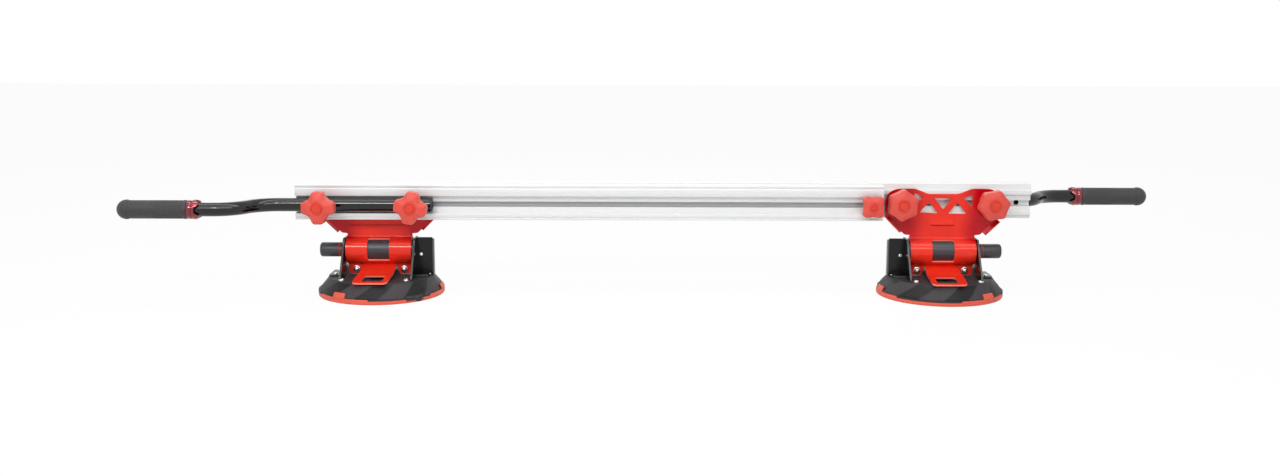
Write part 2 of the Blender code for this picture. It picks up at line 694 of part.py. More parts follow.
# Meshes that both halves share.
FLOOR_Y = RAIL_DEPTH - OUTER_DEPTH
TUBE_FACE = FLOOR_Y + GAP + 2 * TUBE_R
CAVE_OUT = FLOOR_Y - T_MOUTH_DEEP
CAVE_IN = LAND + T_MOUTH_DEEP
rail = rail_mesh()
tube = handle_tube_mesh()
grip = grip_mesh()
ring = grip_ring_mesh()
plug = tube_plug_mesh()
star = knob_mesh(star_outline(), STAR_R, 0.0120, 0.0130, STAR_HIGH, 0.0098)
lock = knob_mesh(lock_outline(), LOCK_R, 0.0115, 0.0060, LOCK_HIGH, 0.0070)
wheel = knob_mesh(wheel_outline(), WHEEL_R, 0.0150, 0.0095, WHEEL_HIGH, 0.0100)
star_seat = TUBE_FACE + 2 * GAP
lock_seat = RAIL_DEPTH + GAP
wheel_seat = -(SHEET + GAP / 2 + 0.0025) - GAP
handle_stud = stud_mesh(CAVE_OUT - T_DEEP + GAP, CAVE_OUT - GAP, star_seat + 0.0150)
lock_stud = stud_mesh(-(CAVE_IN + T_DEEP - GAP), -(CAVE_IN + GAP), lock_seat + 0.0100)
bracket_stud = stud_mesh(CAVE_IN + GAP, CAVE_IN + T_DEEP - GAP, wheel_seat - 0.0160)
sheet_plate = bracket_plate_mesh()
sheet_clamp = bracket_clamp_mesh()
clamp_bolt = clamp_bolt_mesh()
barrel = barrel_mesh()
plunger = plunger_mesh()
upright_outer = upright_outer_mesh()
upright_inner = upright_inner_mesh()
plate = plate_mesh()
valve = valve_mesh()
TO_X = (0, pi / 2, 0)            # a turned piece laid along +X
FACE_OUT = (-pi / 2, 0, 0)       # a knob whose face looks along +Y
FACE_IN = (pi / 2, 0, 0)         # a knob whose face looks along -Y


def half(side, angle, cup_x, handle_end, pad_turn):
    """All pieces of one half, parented to an empty at the rails' middle."""
    frame = parent_empty(side + "_half", None, (RAIL_MID_X, 0, 0), angle)
    place(side + "_rail", rail, ALUMINIUM, frame)
    lock_x = -RAIL_IN + LOCK_HOLE
    place(side + "_rail_lock_knob", lock, RED_PLASTIC, frame, (lock_x, lock_seat, SLOT_Z), FACE_OUT)
    place(side + "_rail_lock_stud", lock_stud, STEEL_ZINC, frame, (lock_x, 0, SLOT_Z))

    handle = parent_empty(side + "_handle", frame, (handle_end, 0, SLOT_Z))
    place(side + "_handle_tube", tube, STEEL_BLACK, handle)
    place(side + "_grip", grip, GRIP_RUBBER, handle, (0, GRIP_Y, 0), TO_X)
    place(side + "_grip_ring", ring, RED_ANODISED, handle, (0, GRIP_Y, 0), TO_X)
    place(side + "_tube_plug", plug, PLUG_PLASTIC, handle,
          (-TUBE_IN, FLOOR_Y + GAP + TUBE_R, 0), TO_X)
    for name, x in zip(("outer", "inner"), HANDLE_KNOBS):
        place(side + "_handle_stud_" + name, handle_stud, STEEL_ZINC, handle, (-x, 0, 0))
        place(side + "_handle_knob_" + name, star, RED_PLASTIC, handle,
              (-x, star_seat, 0), FACE_OUT)

    cup = parent_empty(side + "_cup", frame, (cup_x, 0, 0))
    shift = (SHEET_SHIFT, 0, 0)
    place(side + "_bracket_plate", sheet_plate, RED_COAT, cup, shift)
    place(side + "_bracket_clamp", sheet_clamp, RED_COAT, cup, shift)
    for name, s, x in (("outer", 1, KNOB_OUT), ("inner", -1, -KNOB_IN)):
        place(side + "_bracket_stud_" + name, bracket_stud, STEEL_ZINC, cup, (x, 0, SLOT_Z))
        place(side + "_bracket_knob_" + name, wheel, RED_PLASTIC, cup,
              (x, wheel_seat, SLOT_Z), FACE_IN)
        place(side + "_clamp_bolt_" + name, clamp_bolt, STEEL_ZINC, cup,
              (SHEET_SHIFT + s * BOLT_X, 0, BOLT_Z))
    place(side + "_pump_barrel", barrel, PUMP_PLASTIC, cup, (0, 0, PUMP_Z), TO_X)
    place(side + "_plunger", plunger, PUMP_PLASTIC, cup, (0, 0, PUMP_Z), TO_X)
    place(side + "_upright_outer", upright_outer, STEEL_BLACK, cup)
    place(side + "_upright_inner", upright_inner, STEEL_BLACK, cup)
    place(side + "_cup_plate", plate, PLATE_PLASTIC, cup)
    place(side + "_pad", pad_mesh(pad_turn), RED_RUBBER, cup)
    place(side + "_release_tab", valve, PLATE_PLASTIC, cup)


half("right", 0.0, CUP_X_RIGHT, HANDLE_END_RIGHT, PAD_TURN_RIGHT)
half("left", pi, CUP_X_LEFT, HANDLE_END_LEFT, PAD_TURN_LEFT)
bpy.context.view_layer.update()
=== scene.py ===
# %% [markdown]
# # A telescopic carrier for slabs
# Two aluminium rails lie back to back. Each carries a bent handle in its outer channel
# and, under a folded red sheet bracket, a vacuum cup with its own hand pump. The packed
# CAD model gives every piece its place; this lesson dresses it. All lengths are metres.

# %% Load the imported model
from functools import partial
from math import pi, radians

import bmesh
import bpy
import numpy as np
from mathutils import Matrix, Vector
from mathutils.geometry import delaunay_2d_cdt


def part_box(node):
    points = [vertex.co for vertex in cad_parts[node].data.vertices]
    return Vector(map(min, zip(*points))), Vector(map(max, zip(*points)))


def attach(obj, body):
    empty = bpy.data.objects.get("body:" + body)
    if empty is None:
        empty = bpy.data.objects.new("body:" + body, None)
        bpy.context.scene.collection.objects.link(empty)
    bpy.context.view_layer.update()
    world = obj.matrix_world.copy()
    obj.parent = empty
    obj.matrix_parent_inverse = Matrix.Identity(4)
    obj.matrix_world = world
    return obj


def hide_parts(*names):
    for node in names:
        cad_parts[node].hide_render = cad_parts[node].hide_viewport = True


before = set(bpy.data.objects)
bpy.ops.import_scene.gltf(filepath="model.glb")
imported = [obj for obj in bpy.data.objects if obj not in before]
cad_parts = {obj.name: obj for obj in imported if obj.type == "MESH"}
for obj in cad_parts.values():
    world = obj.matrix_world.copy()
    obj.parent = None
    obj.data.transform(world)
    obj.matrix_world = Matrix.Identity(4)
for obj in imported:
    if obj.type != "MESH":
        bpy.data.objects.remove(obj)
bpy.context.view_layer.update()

scene = bpy.context.scene

# %% [markdown]
# ## Camera
# The photograph was taken from a little above the rails with a lens a bit wider than
# normal. Fitting the rails, both cups and both grips gave the place, the downward tilt
# and a roll of a sixth of a degree.

# %% Camera
EYE_PLACE, LENS = (-0.0195, -2.2248, 0.4775), 37.97
TILT, ROLL = radians(9.79), 0.0028
eye = bpy.data.cameras.new("photo_camera")
eye.sensor_width, eye.lens = 36.0, LENS
camera = bpy.data.objects.new("photo_camera", eye)
scene.collection.objects.link(camera)
camera.matrix_world = (Matrix.Translation(EYE_PLACE) @ Matrix.Rotation(pi / 2 - TILT, 4, "X")
                       @ Matrix.Rotation(ROLL, 4, "Z"))
scene.camera = camera
print("lens", eye.lens, "mm")

# %% [markdown]
# ## Colour and nodes
# Colours are written as they look on a screen, in sRGB, and turned to linear light once.
# A single helper adds any shader node, so a material reads as a list of its nodes.

# %% Helpers for materials
def linear(code):
    """sRGB hex to linear light: below 0.04045 a channel is divided by 12.92, above it is
    ((c + 0.055) / 1.055) to the power 2.4."""
    c = np.array([int(code[k:k + 2], 16) for k in (0, 2, 4)]) / 255.0
    low, high = c / 12.92, ((c + 0.055) / 1.055) ** 2.4
    return (*np.where(c <= 0.04045, low, high).tolist(), 1.0)


def add_node(tree, kind, inputs=None, out=0, to=None, **settings):
    """One node: settings go on the node itself, and inputs are values or sockets to link.
    Its output called out is linked on to the socket given as to, and returned."""
    made_node = tree.nodes.new("ShaderNode" + kind)
    for key, value in settings.items():
        setattr(made_node, key, value)
    for key, value in (inputs or {}).items():
        if isinstance(value, bpy.types.NodeSocket):
            tree.links.new(value, made_node.inputs[key])
        else:
            made_node.inputs[key].default_value = value
    if to is not None:
        tree.links.new(made_node.outputs[out], to)
    return made_node.outputs[out] if made_node.outputs else None


def new_finish(name, **sockets):
    """A material with one Principled shader, plus Object coordinates to draw with. Gives
    the material, add_node for its own tree, the shader and the coordinate socket."""
    mat = bpy.data.materials.new(name)
    mat.use_nodes = True
    mat.node_tree.nodes.clear()
    add = partial(add_node, mat.node_tree)
    values = {key.replace("_", " "): value for key, value in sockets.items()}
    shader = add("BsdfPrincipled", values).node
    add("OutputMaterial", {"Surface": shader.outputs[0]})
    return mat, add, shader, add("TexCoord", out="Object")


WHITE = (1, 1, 1, 1)
print("coral is", [round(v, 3) for v in linear("E2564A")])

# %% [markdown]
# ## Stage and light
# The photograph is a cut-out on white. A pale floor meets a white world; to the camera
# and to reflections the floor glows most of the way to white, and the rest of it still
# takes a soft shadow. Two banks overhead, a long strip in front, a small box on the left
# and a strip behind model the forms: the thin streaks on tubes and saddles are their
# reflections, and the height of a streak on a saddle gave the height of the front strip.

# %% Floor, world and lamps
WORLD_LEVEL, FLOOR_GLOW = 0.33, 0.94
FLOOR_HALF, FLOOR_Z = 6, -0.0004


def seen_ray(add):
    """1 for rays from the camera and those that gloss or glass passes on, else 0: the
    greatest of three Light Path switches."""
    path = add("LightPath").node.outputs
    seen = add("Math", {0: path["Is Camera Ray"], 1: path["Is Glossy Ray"]}, operation="MAXIMUM")
    return add("Math", {0: seen, 1: path["Is Transmission Ray"]}, operation="MAXIMUM")


world = bpy.data.worlds.new("studio")
scene.world = world
world.use_nodes = True
world.node_tree.nodes.clear()
add = partial(add_node, world.node_tree)
level = add("MapRange", {"Value": seen_ray(add), "To Min": WORLD_LEVEL, "To Max": 1.0})
add("OutputWorld", {"Surface": add("Background", {"Color": WHITE, "Strength": level})})

floor_mat, add, shader, _ = new_finish("matt white floor paint", Base_Color=linear("F4F4F4"),
                                       Roughness=0.9)
part = add("Math", {0: seen_ray(add), 1: FLOOR_GLOW}, operation="MULTIPLY")
glow = add("Emission", {"Color": WHITE, "Strength": 1.0})
both = add("MixShader", {0: part, 1: shader.outputs[0], 2: glow})
add("OutputMaterial", {"Surface": both}, is_active_output=True)

floor_mesh = bpy.data.meshes.new("floor")
floor_mesh.from_pydata([(x * FLOOR_HALF, y * FLOOR_HALF, FLOOR_Z)
                        for x, y in ((-1, -1), (1, -1), (1, 1), (-1, 1))], [], [(0, 1, 2, 3)])
floor_mesh.materials.append(floor_mat)
floor = bpy.data.objects.new("floor", floor_mesh)
scene.collection.objects.link(floor)


def soft_lamp(name, place, aim, size, watts):
    """Area lamp at a place, turned so that its face looks at the aim point."""
    data = bpy.data.lights.new(name, "AREA")
    data.shape = "RECTANGLE"
    data.size, data.size_y = size
    data.energy = watts
    lamp = bpy.data.objects.new(name, data)
    scene.collection.objects.link(lamp)
    away = np.array(place) - np.array(aim)
    away = away / np.linalg.norm(away)
    side = np.cross((0.0, 0.0, 1.0), away)
    side = side / np.linalg.norm(side)
    turn = Matrix(np.stack([side, np.cross(away, side), away], 1).tolist()).to_4x4()
    lamp.matrix_world = Matrix.Translation(place) @ turn


MIDDLE = (0.0, 0.0, 0.10)
soft_lamp("overhead_bank", (-0.10, -0.80, 1.45), MIDDLE, (2.4, 0.25), 5.5)
soft_lamp("top_bank", (-0.10, -0.28, 1.50), MIDDLE, (2.4, 0.25), 8)
soft_lamp("front_strip", (-0.12, -1.75, 1.25), MIDDLE, (2.6, 0.34), 18)
soft_lamp("left_box", (-0.85, -1.65, 1.28), (-0.45, 0.0, 0.10), (0.42, 0.14), 6)
soft_lamp("back_strip", (0.0, 1.75, 1.05), MIDDLE, (2.6, 0.34), 8)

# %% [markdown]
# ## Surfaces from arrays
# Nearly every piece here is either turned, drawn along a line or folded from sheet. Each
# becomes a grid of points worked out in one go, and the quads between neighbours follow
# from the grid's size. Corners are softened before anything is swept, because a real
# edge always has a small radius that catches light.

# %% Grids and soft corners
def grid(points, loop_rows=False, loop_cols=False):
    """Points (rows, cols, 3) and the quads between them: corner number = row * cols + col,
    and a looped side joins its last line to its first."""
    rows, cols = points.shape[:2]
    r = np.arange(rows if loop_rows else rows - 1)[:, None]
    c = np.arange(cols if loop_cols else cols - 1)[None, :]
    r2, c2 = (r + 1) % rows, (c + 1) % cols
    quads = np.stack([r * cols + c, r * cols + c2, r2 * cols + c2, r2 * cols + c], -1)
    return points.reshape(-1, 3), quads.reshape(-1, 4)


def soft(corners, steps=4):
    """Closed polygon of (a, b, set-back) with each corner replaced by a short curve:
    between the points set back from it along both sides, (1-t)^2 A + 2 t (1-t) P + t^2 B."""
    data = np.array(corners, float)
    p, back = data[:, :2], data[:, 2:3]
    to_last, to_next = np.roll(p, 1, 0) - p, np.roll(p, -1, 0) - p
    reach_last = np.linalg.norm(to_last, axis=1, keepdims=True)
    reach_next = np.linalg.norm(to_next, axis=1, keepdims=True)
    a = (p + to_last / reach_last * np.minimum(back, 0.49 * reach_last))[:, None, :]
    b = (p + to_next / reach_next * np.minimum(back, 0.49 * reach_next))[:, None, :]
    t = np.linspace(0, 1, steps)[None, :, None]
    curve = ((1 - t) ** 2 * a + 2 * t * (1 - t) * p[:, None, :] + t ** 2 * b).reshape(-1, 2)
    step = np.linalg.norm(np.diff(curve, axis=0, prepend=curve[:1] + 1), axis=1)
    return curve[step > 1e-7]


def lay(points, axis):
    """Turns a shape made about Z so that its up looks along +Y, -Y or +X; +Z leaves it."""
    x, y, z = points[:, 0], points[:, 1], points[:, 2]
    ways = {"+Y": (x, z, -y), "-Y": (x, -z, y), "+X": (z, y, -x), "+Z": (x, y, z)}
    return np.stack(ways[axis], -1)


def polar(r, a, h):
    """Points at radius r, angle a and height h: (r cos a, r sin a, h)."""
    return np.stack([r * np.cos(a), r * np.sin(a), h + 0 * (r + a)], -1)


def lathe(rows, count, axis="+Z", radius_of=None, height_of=None, ring=False):
    """Rows of (radius, height) turned about Z and laid along an axis. radius_of and
    height_of may add to both as functions of the angle and the row; a ring's last row
    joins its first."""
    rows = np.array(rows, float)
    a = np.linspace(0, 2 * pi, count, endpoint=False)[None, :]
    r = rows[:, 0:1] + (radius_of(a, rows) if radius_of else 0 * a)
    h = rows[:, 1:2] + (height_of(a, rows) if height_of else 0 * a)
    points, quads = grid(polar(r, a, h), ring, True)
    return [(lay(points, axis), quads)]


def moved(patches, by):
    """Patches shifted by (x, y, z)."""
    return [(points + by, *rest) for points, *rest in patches]


def at_x(x, flat):
    """Flat (y, z) points stood across X."""
    return np.concatenate([np.full((len(flat), 1), x), flat], 1)


def at_y(y, flat):
    """Flat (x, z) points stood across Y."""
    return np.stack([flat[:, 0], np.full(len(flat), y), flat[:, 1]], 1)


def box_loop(a0, a1, b0, b1, *backs):
    """Corners of a flat rectangle with a set-back for each, or one for all."""
    corners = ((a0, b0), (a1, b0), (a1, b1), (a0, b1))
    return [(a, b, back) for (a, b), back in zip(corners, backs if len(backs) > 1 else backs * 4)]


def filled(loops, lines=()):
    """Flat fill between loops of (a, b): a constrained triangulation whose triangles are
    kept where a ray from the centre crosses the loops an odd number of times. The lines
    only add edges for later bends."""
    loops = [np.asarray(loop, float) for loop in loops]
    verts, edges, count = [], [], 0
    for loop in loops:
        k = np.arange(len(loop))
        edges += np.stack([k + count, (k + 1) % len(loop) + count], 1).tolist()
        verts += loop.tolist()
        count += len(loop)
    for a, b in lines:
        edges.append((count, count + 1))
        verts += [a, b]
        count += 2
    out = delaunay_2d_cdt(verts, edges, [], 0, 1e-7)
    flat, tris = np.array([list(v) for v in out[0]]), np.array(out[2])
    middle = flat[tris].mean(1)[:, None, :]
    start = np.concatenate(loops)
    stop = np.concatenate([np.roll(loop, -1, 0) for loop in loops])
    spans = (start[:, 1] > middle[..., 1]) != (stop[:, 1] > middle[..., 1])
    rise = stop[:, 1] - start[:, 1]
    rise = np.where(rise == 0, 1e-12, rise)
    cross = start[:, 0] + (middle[..., 1] - start[:, 1]) / rise * (stop[:, 0] - start[:, 0])
    inside = (spans & (middle[..., 0] < cross)).sum(1) % 2 == 1
    used, numbers = np.unique(tris[inside], return_inverse=True)
    return flat[used], numbers.reshape(-1, 3)


def folded(loops, lines, fold, thick):
    """Sheet cut flat and then folded: fold turns flat (a, b) into a place and the way the
    sheet faces. The two skins lie half a thickness each side, with a wall round each cut."""
    flat, tris = filled(loops, lines)
    place, way = fold(flat[:, 0], flat[:, 1])
    both = np.concatenate([place + way * thick / 2, place - way * thick / 2])
    sides = np.concatenate([tris[:, [0, 1]], tris[:, [1, 2]], tris[:, [2, 0]]])
    _, first, times = np.unique(np.sort(sides, 1), axis=0, return_index=True, return_counts=True)
    rim = sides[first[times == 1]]
    n = len(flat)
    wall = np.stack([rim[:, 0], rim[:, 1], rim[:, 1] + n, rim[:, 0] + n], 1)
    return [(both, np.concatenate([tris, tris[:, ::-1] + n])), (both, wall, 1)]


def ring_of(x, y, radius, count=24):
    """Circle of points in the flat."""
    a = np.linspace(0, 2 * pi, count, endpoint=False)
    return np.stack([x + radius * np.cos(a), y + radius * np.sin(a)], 1)


print("shape helpers ready")

# %% [markdown]
# ## From patches to a piece
# Both halves of the carrier share one shape: the left half is the right one turned half a
# turn about the rails' middle. So each piece is worked out once, in a half's own frame,
# and one function carries it to its side, makes the mesh and ties it to its body.

# %% The piece maker
RAIL_MID = 0.0225          # the rails' middle, from the middle of the carrier
HALVES = {"right": 1.0, "left": -1.0}
RAIL_BODY = {"right": "rear_rail", "left": "front_rail"}
made = {}


def join(patches):
    """Several (points, faces) into one, each patch's face numbers moved on by the points
    before it. A third item 1 marks a patch that is a cut edge."""
    points, faces, marks, count = [], [], [], 0
    for verts, corners, *mark in patches:
        points.append(verts)
        faces += (np.asarray(corners) + count).tolist()
        marks += [mark[0] if mark else 0] * len(corners)
        count += len(verts)
    return np.concatenate(points), faces, marks


def make_piece(side, name, patches, shift, finish, body, nodes=(), bevel=0.0, sharp=34.0,
               edge_finish=None):
    """One finished object at the origin: patches shifted, carried to their side, joined,
    doubles merged, faces turned outwards, shaded smooth up to the sharp angle, and tied to
    its body; the imported nodes it stands for are hidden. Patches marked as cut edges take the
    edge finish."""
    name = f"{side}_{name}"
    points, faces, marks = join(patches)
    way = HALVES[side]
    points = (points + np.array(shift)) * np.array([way, way, 1.0]) + np.array([RAIL_MID, 0, 0])
    mesh = bpy.data.meshes.new(name)
    mesh.from_pydata(points.tolist(), [], faces)
    if edge_finish:
        mesh.polygons.foreach_set("material_index", marks)
    work = bmesh.new()
    work.from_mesh(mesh)
    bmesh.ops.remove_doubles(work, verts=work.verts, dist=4e-6)
    bmesh.ops.dissolve_degenerate(work, edges=work.edges, dist=1e-6)
    bmesh.ops.recalc_face_normals(work, faces=work.faces)
    work.to_mesh(mesh)
    work.free()
    mesh.materials.append(finish)
    if edge_finish:
        mesh.materials.append(edge_finish)
    mesh.shade_smooth()
    mesh.set_sharp_from_angle(angle=radians(sharp))
    obj = bpy.data.objects.new(name, mesh)
    scene.collection.objects.link(obj)
    if bevel:
        edge = obj.modifiers.new("broken_edge", "BEVEL")
        edge.width, edge.segments, edge.limit_method = bevel, 2, "ANGLE"
        edge.angle_limit = radians(50)
        edge.harden_normals = True
    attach(obj, RAIL_BODY[side] if body == "rail" else f"{side}_{body}")
    if nodes:
        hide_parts(*(f"{side}_{node}" for node in nodes))
    made[name] = len(mesh.polygons)
    return obj


print("bodies of the rails", RAIL_BODY)

# %% [markdown]
# ## Finishes
# Anodised aluminium: drawn through a die, so very fine lines run along the bar, then
# etched and anodised to a pale satin. Powder coat: baked polyester that flows to a gloss
# with a faint orange peel. The knobs are moulded nylon with a fine eroded texture.
# The grains and lines below are given in millimetres and turned to a noise scale of one
# over the size; those too fine for a picture are drawn a little coarser.

# %% Metals and coatings
SLOT_HEIGHT, SLOT_DEPTH = 0.1535, 0.0184         # middle of the outer T-slots, from Y = 0
CARRIER_MID, BRACKET_OFF = 0.0153, 0.4683        # between the brackets, and out to each


def over(mm):
    """Noise scale for features of that size in millimetres."""
    return 1000.0 / mm


def distance(add, value, middle=0.0):
    """How far a value lies from a middle."""
    away = add("Math", {0: value, 1: middle}, operation="SUBTRACT")
    return add("Math", {0: away}, operation="ABSOLUTE")


def anodised_rail():
    """Satin anodised 6063 extrusion: die lines 1 mm apart along X, far longer than wide.
    Within 7.7 mm of the outer T-slots' middle height and behind the channels' floors, off the end
    faces,
    the metal is coloured a darker grey: painted shade inside the slots."""
    mat, add, shader, where = new_finish("satin anodised aluminium extrusion", Metallic=0.35,
                                         Roughness=0.50)
    spot = add("SeparateXYZ", {0: where}).node.outputs
    facing = add("SeparateXYZ", {0: add("NewGeometry", out="Normal")})
    inside = 1.0
    # Painted shade: inside the outer T-slots the grey is mixed towards C0C1C3.
    for off, start, stop in ((distance(add, spot[2], SLOT_HEIGHT), 0.0072, 0.0077),
                             (distance(add, distance(add, spot[1]), SLOT_DEPTH), 0.0040, 0.0044),
                             (distance(add, facing), 0.3, 0.6)):
        near = add("MapRange", {"Value": off, "From Min": start, "From Max": stop,
                                "To Min": 1.0, "To Max": 0.0})
        inside = add("Math", {0: near, 1: inside}, operation="MULTIPLY")
    long_way = add("Mapping", {"Vector": where, "Scale": (4.0, over(1.0), over(1.0))})
    lines = add("TexNoise", {"Vector": long_way, "Scale": 1.0, "Detail": 3.0, "Roughness": 0.6})
    shade = add("Mix", {0: lines, 6: linear("D4D5D6"), 7: linear("E5E5E4")}, 2, data_type="RGBA")
    add("Mix", {0: inside, 6: shade, 7: linear("C0C1C3")}, 2, shader.inputs["Base Color"],
        data_type="RGBA")
    add("MapRange", {"Value": lines, "From Min": 0.3, "From Max": 0.7, "To Min": 0.42,
                     "To Max": 0.56}, to=shader.inputs["Roughness"])
    add("Bump", {"Height": lines, "Strength": 0.05, "Distance": 0.0003}, to=shader.inputs["Normal"])
    return mat


def powder_coat(name, deep, bright):
    """Polyester powder on steel: full gloss, waves 2.5 mm wide, and a tone that drifts over 45 mm.
    The sheet above 82 to 96 mm is mixed towards the deep crimson, and more so on the flat wings above
    the saddle, from 25 to 60 mm off the bracket's middle: painted shade. The two brackets' middles are
    936.6 mm apart."""
    mat, add, shader, where = new_finish(name, Roughness=0.16, IOR=1.5, Specular_IOR_Level=0.26)
    tone = add("TexNoise", {"Vector": where, "Scale": over(45.0), "Detail": 1.0})
    spot = add("SeparateXYZ", {0: where}).node.outputs
    # Painted shade: the upper sheet, and most of all its wings, is mixed towards the deep colour.
    off = distance(add, distance(add, spot[0], CARRIER_MID), BRACKET_OFF)
    shaded_wing = add("MapRange", {"Value": off, "From Min": 0.025, "From Max": 0.060},
               interpolation_type="SMOOTHSTEP")
    high = add("MapRange", {"Value": spot[2], "From Min": 0.082, "From Max": 0.096},
               interpolation_type="SMOOTHSTEP")
    # thick here is the painted shade on the wings above the saddle.
    thick = add("Math", {0: shaded_wing, 1: high}, operation="MULTIPLY")
    thin = add("Math", {0: thick, 1: -0.75, 2: 0.66}, operation="MULTIPLY_ADD")
    thin = add("Math", {0: high, 1: -0.22, 2: thin}, operation="MULTIPLY_ADD")
    mixed = add("Math", {0: tone, 1: 0.6, 2: thin}, operation="MULTIPLY_ADD", use_clamp=True)
    add("Mix", {0: mixed, 6: linear(deep), 7: linear(bright)}, 2, shader.inputs["Base Color"],
        data_type="RGBA")
    peel = add("TexNoise", {"Vector": where, "Scale": over(2.5), "Detail": 1.0})
    add("Bump", {"Height": peel, "Strength": 0.05, "Distance": 0.0006}, to=shader.inputs["Normal"])
    return mat


def black_lacquer(name, colour, smooth, rubbed, level=0.32):
    """Stoved enamel on steel: near black, wet gloss, with faint rubbed patches 20 mm wide
    whose roughness lies between smooth and rubbed."""
    mat, add, shader, where = new_finish(name, Base_Color=linear(colour), Roughness=smooth,
                                         IOR=1.5, Specular_IOR_Level=level)
    rub = add("TexNoise", {"Vector": where, "Scale": over(20.0), "Detail": 5.0, "Roughness": 0.65})
    add("MapRange", {"Value": rub, "From Min": 0.35, "From Max": 0.7, "To Min": smooth,
                     "To Max": rubbed}, to=shader.inputs["Roughness"])
    peel = add("TexNoise", {"Vector": where, "Scale": over(3.0), "Detail": 1.0})
    add("Bump", {"Height": peel, "Strength": 0.04, "Distance": 0.0005}, to=shader.inputs["Normal"])
    return mat


def bright_zinc():
    """Zinc plate on turned steel: fine bright grain, cloudy at 3 mm."""
    mat, add, shader, where = new_finish("bright zinc plate", Metallic=1.0, Roughness=0.28)
    cloud = add("TexNoise", {"Vector": where, "Scale": over(3.0), "Detail": 4.0})
    add("Mix", {0: cloud, 6: linear("BFC0C2"), 7: linear("EDEBE6")}, 2,
        shader.inputs["Base Color"], data_type="RGBA")
    add("MapRange", {"Value": cloud, "From Min": 0.35, "From Max": 0.65, "To Min": 0.18,
                     "To Max": 0.36}, to=shader.inputs["Roughness"])
    return mat


def red_anodised():
    """Dyed anodised aluminium: turning marks 0.4 mm apart under a clear sealed layer that
    throws white highlights."""
    mat, add, shader, where = new_finish("red dyed anodised aluminium", Metallic=1.0,
                                         Base_Color=linear("86101F"), Roughness=0.20,
                                         Coat_Weight=1.0, Coat_Roughness=0.05, Coat_IOR=1.6)
    across = add("Mapping", {"Vector": where, "Scale": (over(0.4), 6.0, 6.0)})
    marks = add("TexNoise", {"Vector": across, "Scale": 1.0, "Detail": 1.0})
    add("Mix", {0: marks, 6: linear("640A16"), 7: linear("8E1426")}, 2,
        shader.inputs["Base Color"], data_type="RGBA")
    add("Bump", {"Height": marks, "Strength": 0.08, "Distance": 0.0002}, to=shader.inputs["Normal"])
    return mat


RAIL_FINISH = anodised_rail()
RED_COAT = powder_coat("gloss red powder coat", "BC0014", "F03420")
# The red sheets' cut edges take a paler pink: a painted highlight along the edges.
EDGE_HIGHLIGHT_COAT = powder_coat("pale powder coat with painted highlight on cut edges", "EE5A46", "FA8470")
# Near-black red for the louvre throat: painted shadow.
THROAT_SHADOW_COAT = powder_coat("painted shadow in the louvre throat", "3A0006", "4E0209")
ENAMEL = black_lacquer("gloss black stoved enamel", "0B0B0C", 0.14, 0.30)
# Grey on the uprights' cut edges: painted highlight.
EDGE_HIGHLIGHT_ENAMEL = black_lacquer("grey enamel with painted highlight on cut edges", "4C4C4E", 0.14, 0.30)
TUBE_ENAMEL = black_lacquer("wet black enamel on tube", "050505", 0.06, 0.12, 0.50)
ZINC = bright_zinc()
ANODISED_RED = red_anodised()
print("finishes so far", len(bpy.data.materials))


# %% Plastics and rubber
def moulded_plastic(name, dark, light, tone_mm, grain_mm, strength, deep, **sockets):
    """Moulded thermoplastic: a slow drift of tone over tone_mm, and the fine eroded grain
    of the mould, grain_mm wide."""
    mat, add, shader, where = new_finish(name, **sockets)
    tone = add("TexNoise", {"Vector": where, "Scale": over(tone_mm), "Detail": 3.0})
    add("Mix", {0: tone, 6: linear(dark), 7: linear(light)}, 2, shader.inputs["Base Color"],
        data_type="RGBA")
    grain = add("TexNoise", {"Vector": where, "Scale": over(grain_mm), "Detail": 2.0})
    add("Bump", {"Height": grain, "Strength": strength, "Distance": deep},
        to=shader.inputs["Normal"])
    return mat


def coral_nylon(name, dark, light, roughness, strength):
    """Glass-filled nylon: light passes a little way in, and a paler bloom shows where the
    face turns away."""
    return moulded_plastic(name, dark, light, 14.0, 0.5, strength, 0.0002, Roughness=roughness,
                           IOR=1.5, Subsurface_Weight=0.12, Subsurface_Scale=0.004,
                           Subsurface_Radius=(1.0, 0.35, 0.25), Sheen_Weight=0.16,
                           Sheen_Roughness=0.5, Sheen_Tint=linear("FFC8BC"),
                           Specular_IOR_Level=0.40)


def black_plastic(name, dark, light, roughness):
    """ABS or POM: satin, with flow tone 25 mm wide."""
    return moulded_plastic(name, dark, light, 25.0, 0.6, 0.12, 0.00015, Roughness=roughness,
                           IOR=1.48)


def soft_rubber(name, dark, light, roughness, pebble_mm, strength):
    """Moulded rubber: matt, with a fine pebble and a dusty bloom in patches 12 mm wide."""
    mat, add, shader, where = new_finish(name, Roughness=roughness, IOR=1.52,
                                         Sheen_Weight=0.12, Sheen_Roughness=0.6)
    bloom = add("TexNoise", {"Vector": where, "Scale": over(12.0), "Detail": 5.0, "Roughness": 0.6})
    add("Mix", {0: bloom, 6: linear(dark), 7: linear(light)}, 2, shader.inputs["Base Color"],
        data_type="RGBA")
    add("MapRange", {"Value": bloom, "To Min": roughness - 0.08, "To Max": roughness + 0.08},
        to=shader.inputs["Roughness"])
    pebble = add("TexVoronoi", {"Vector": where, "Scale": over(pebble_mm)})
    add("Bump", {"Height": pebble, "Strength": strength, "Distance": 0.0003},
        to=shader.inputs["Normal"])
    return mat


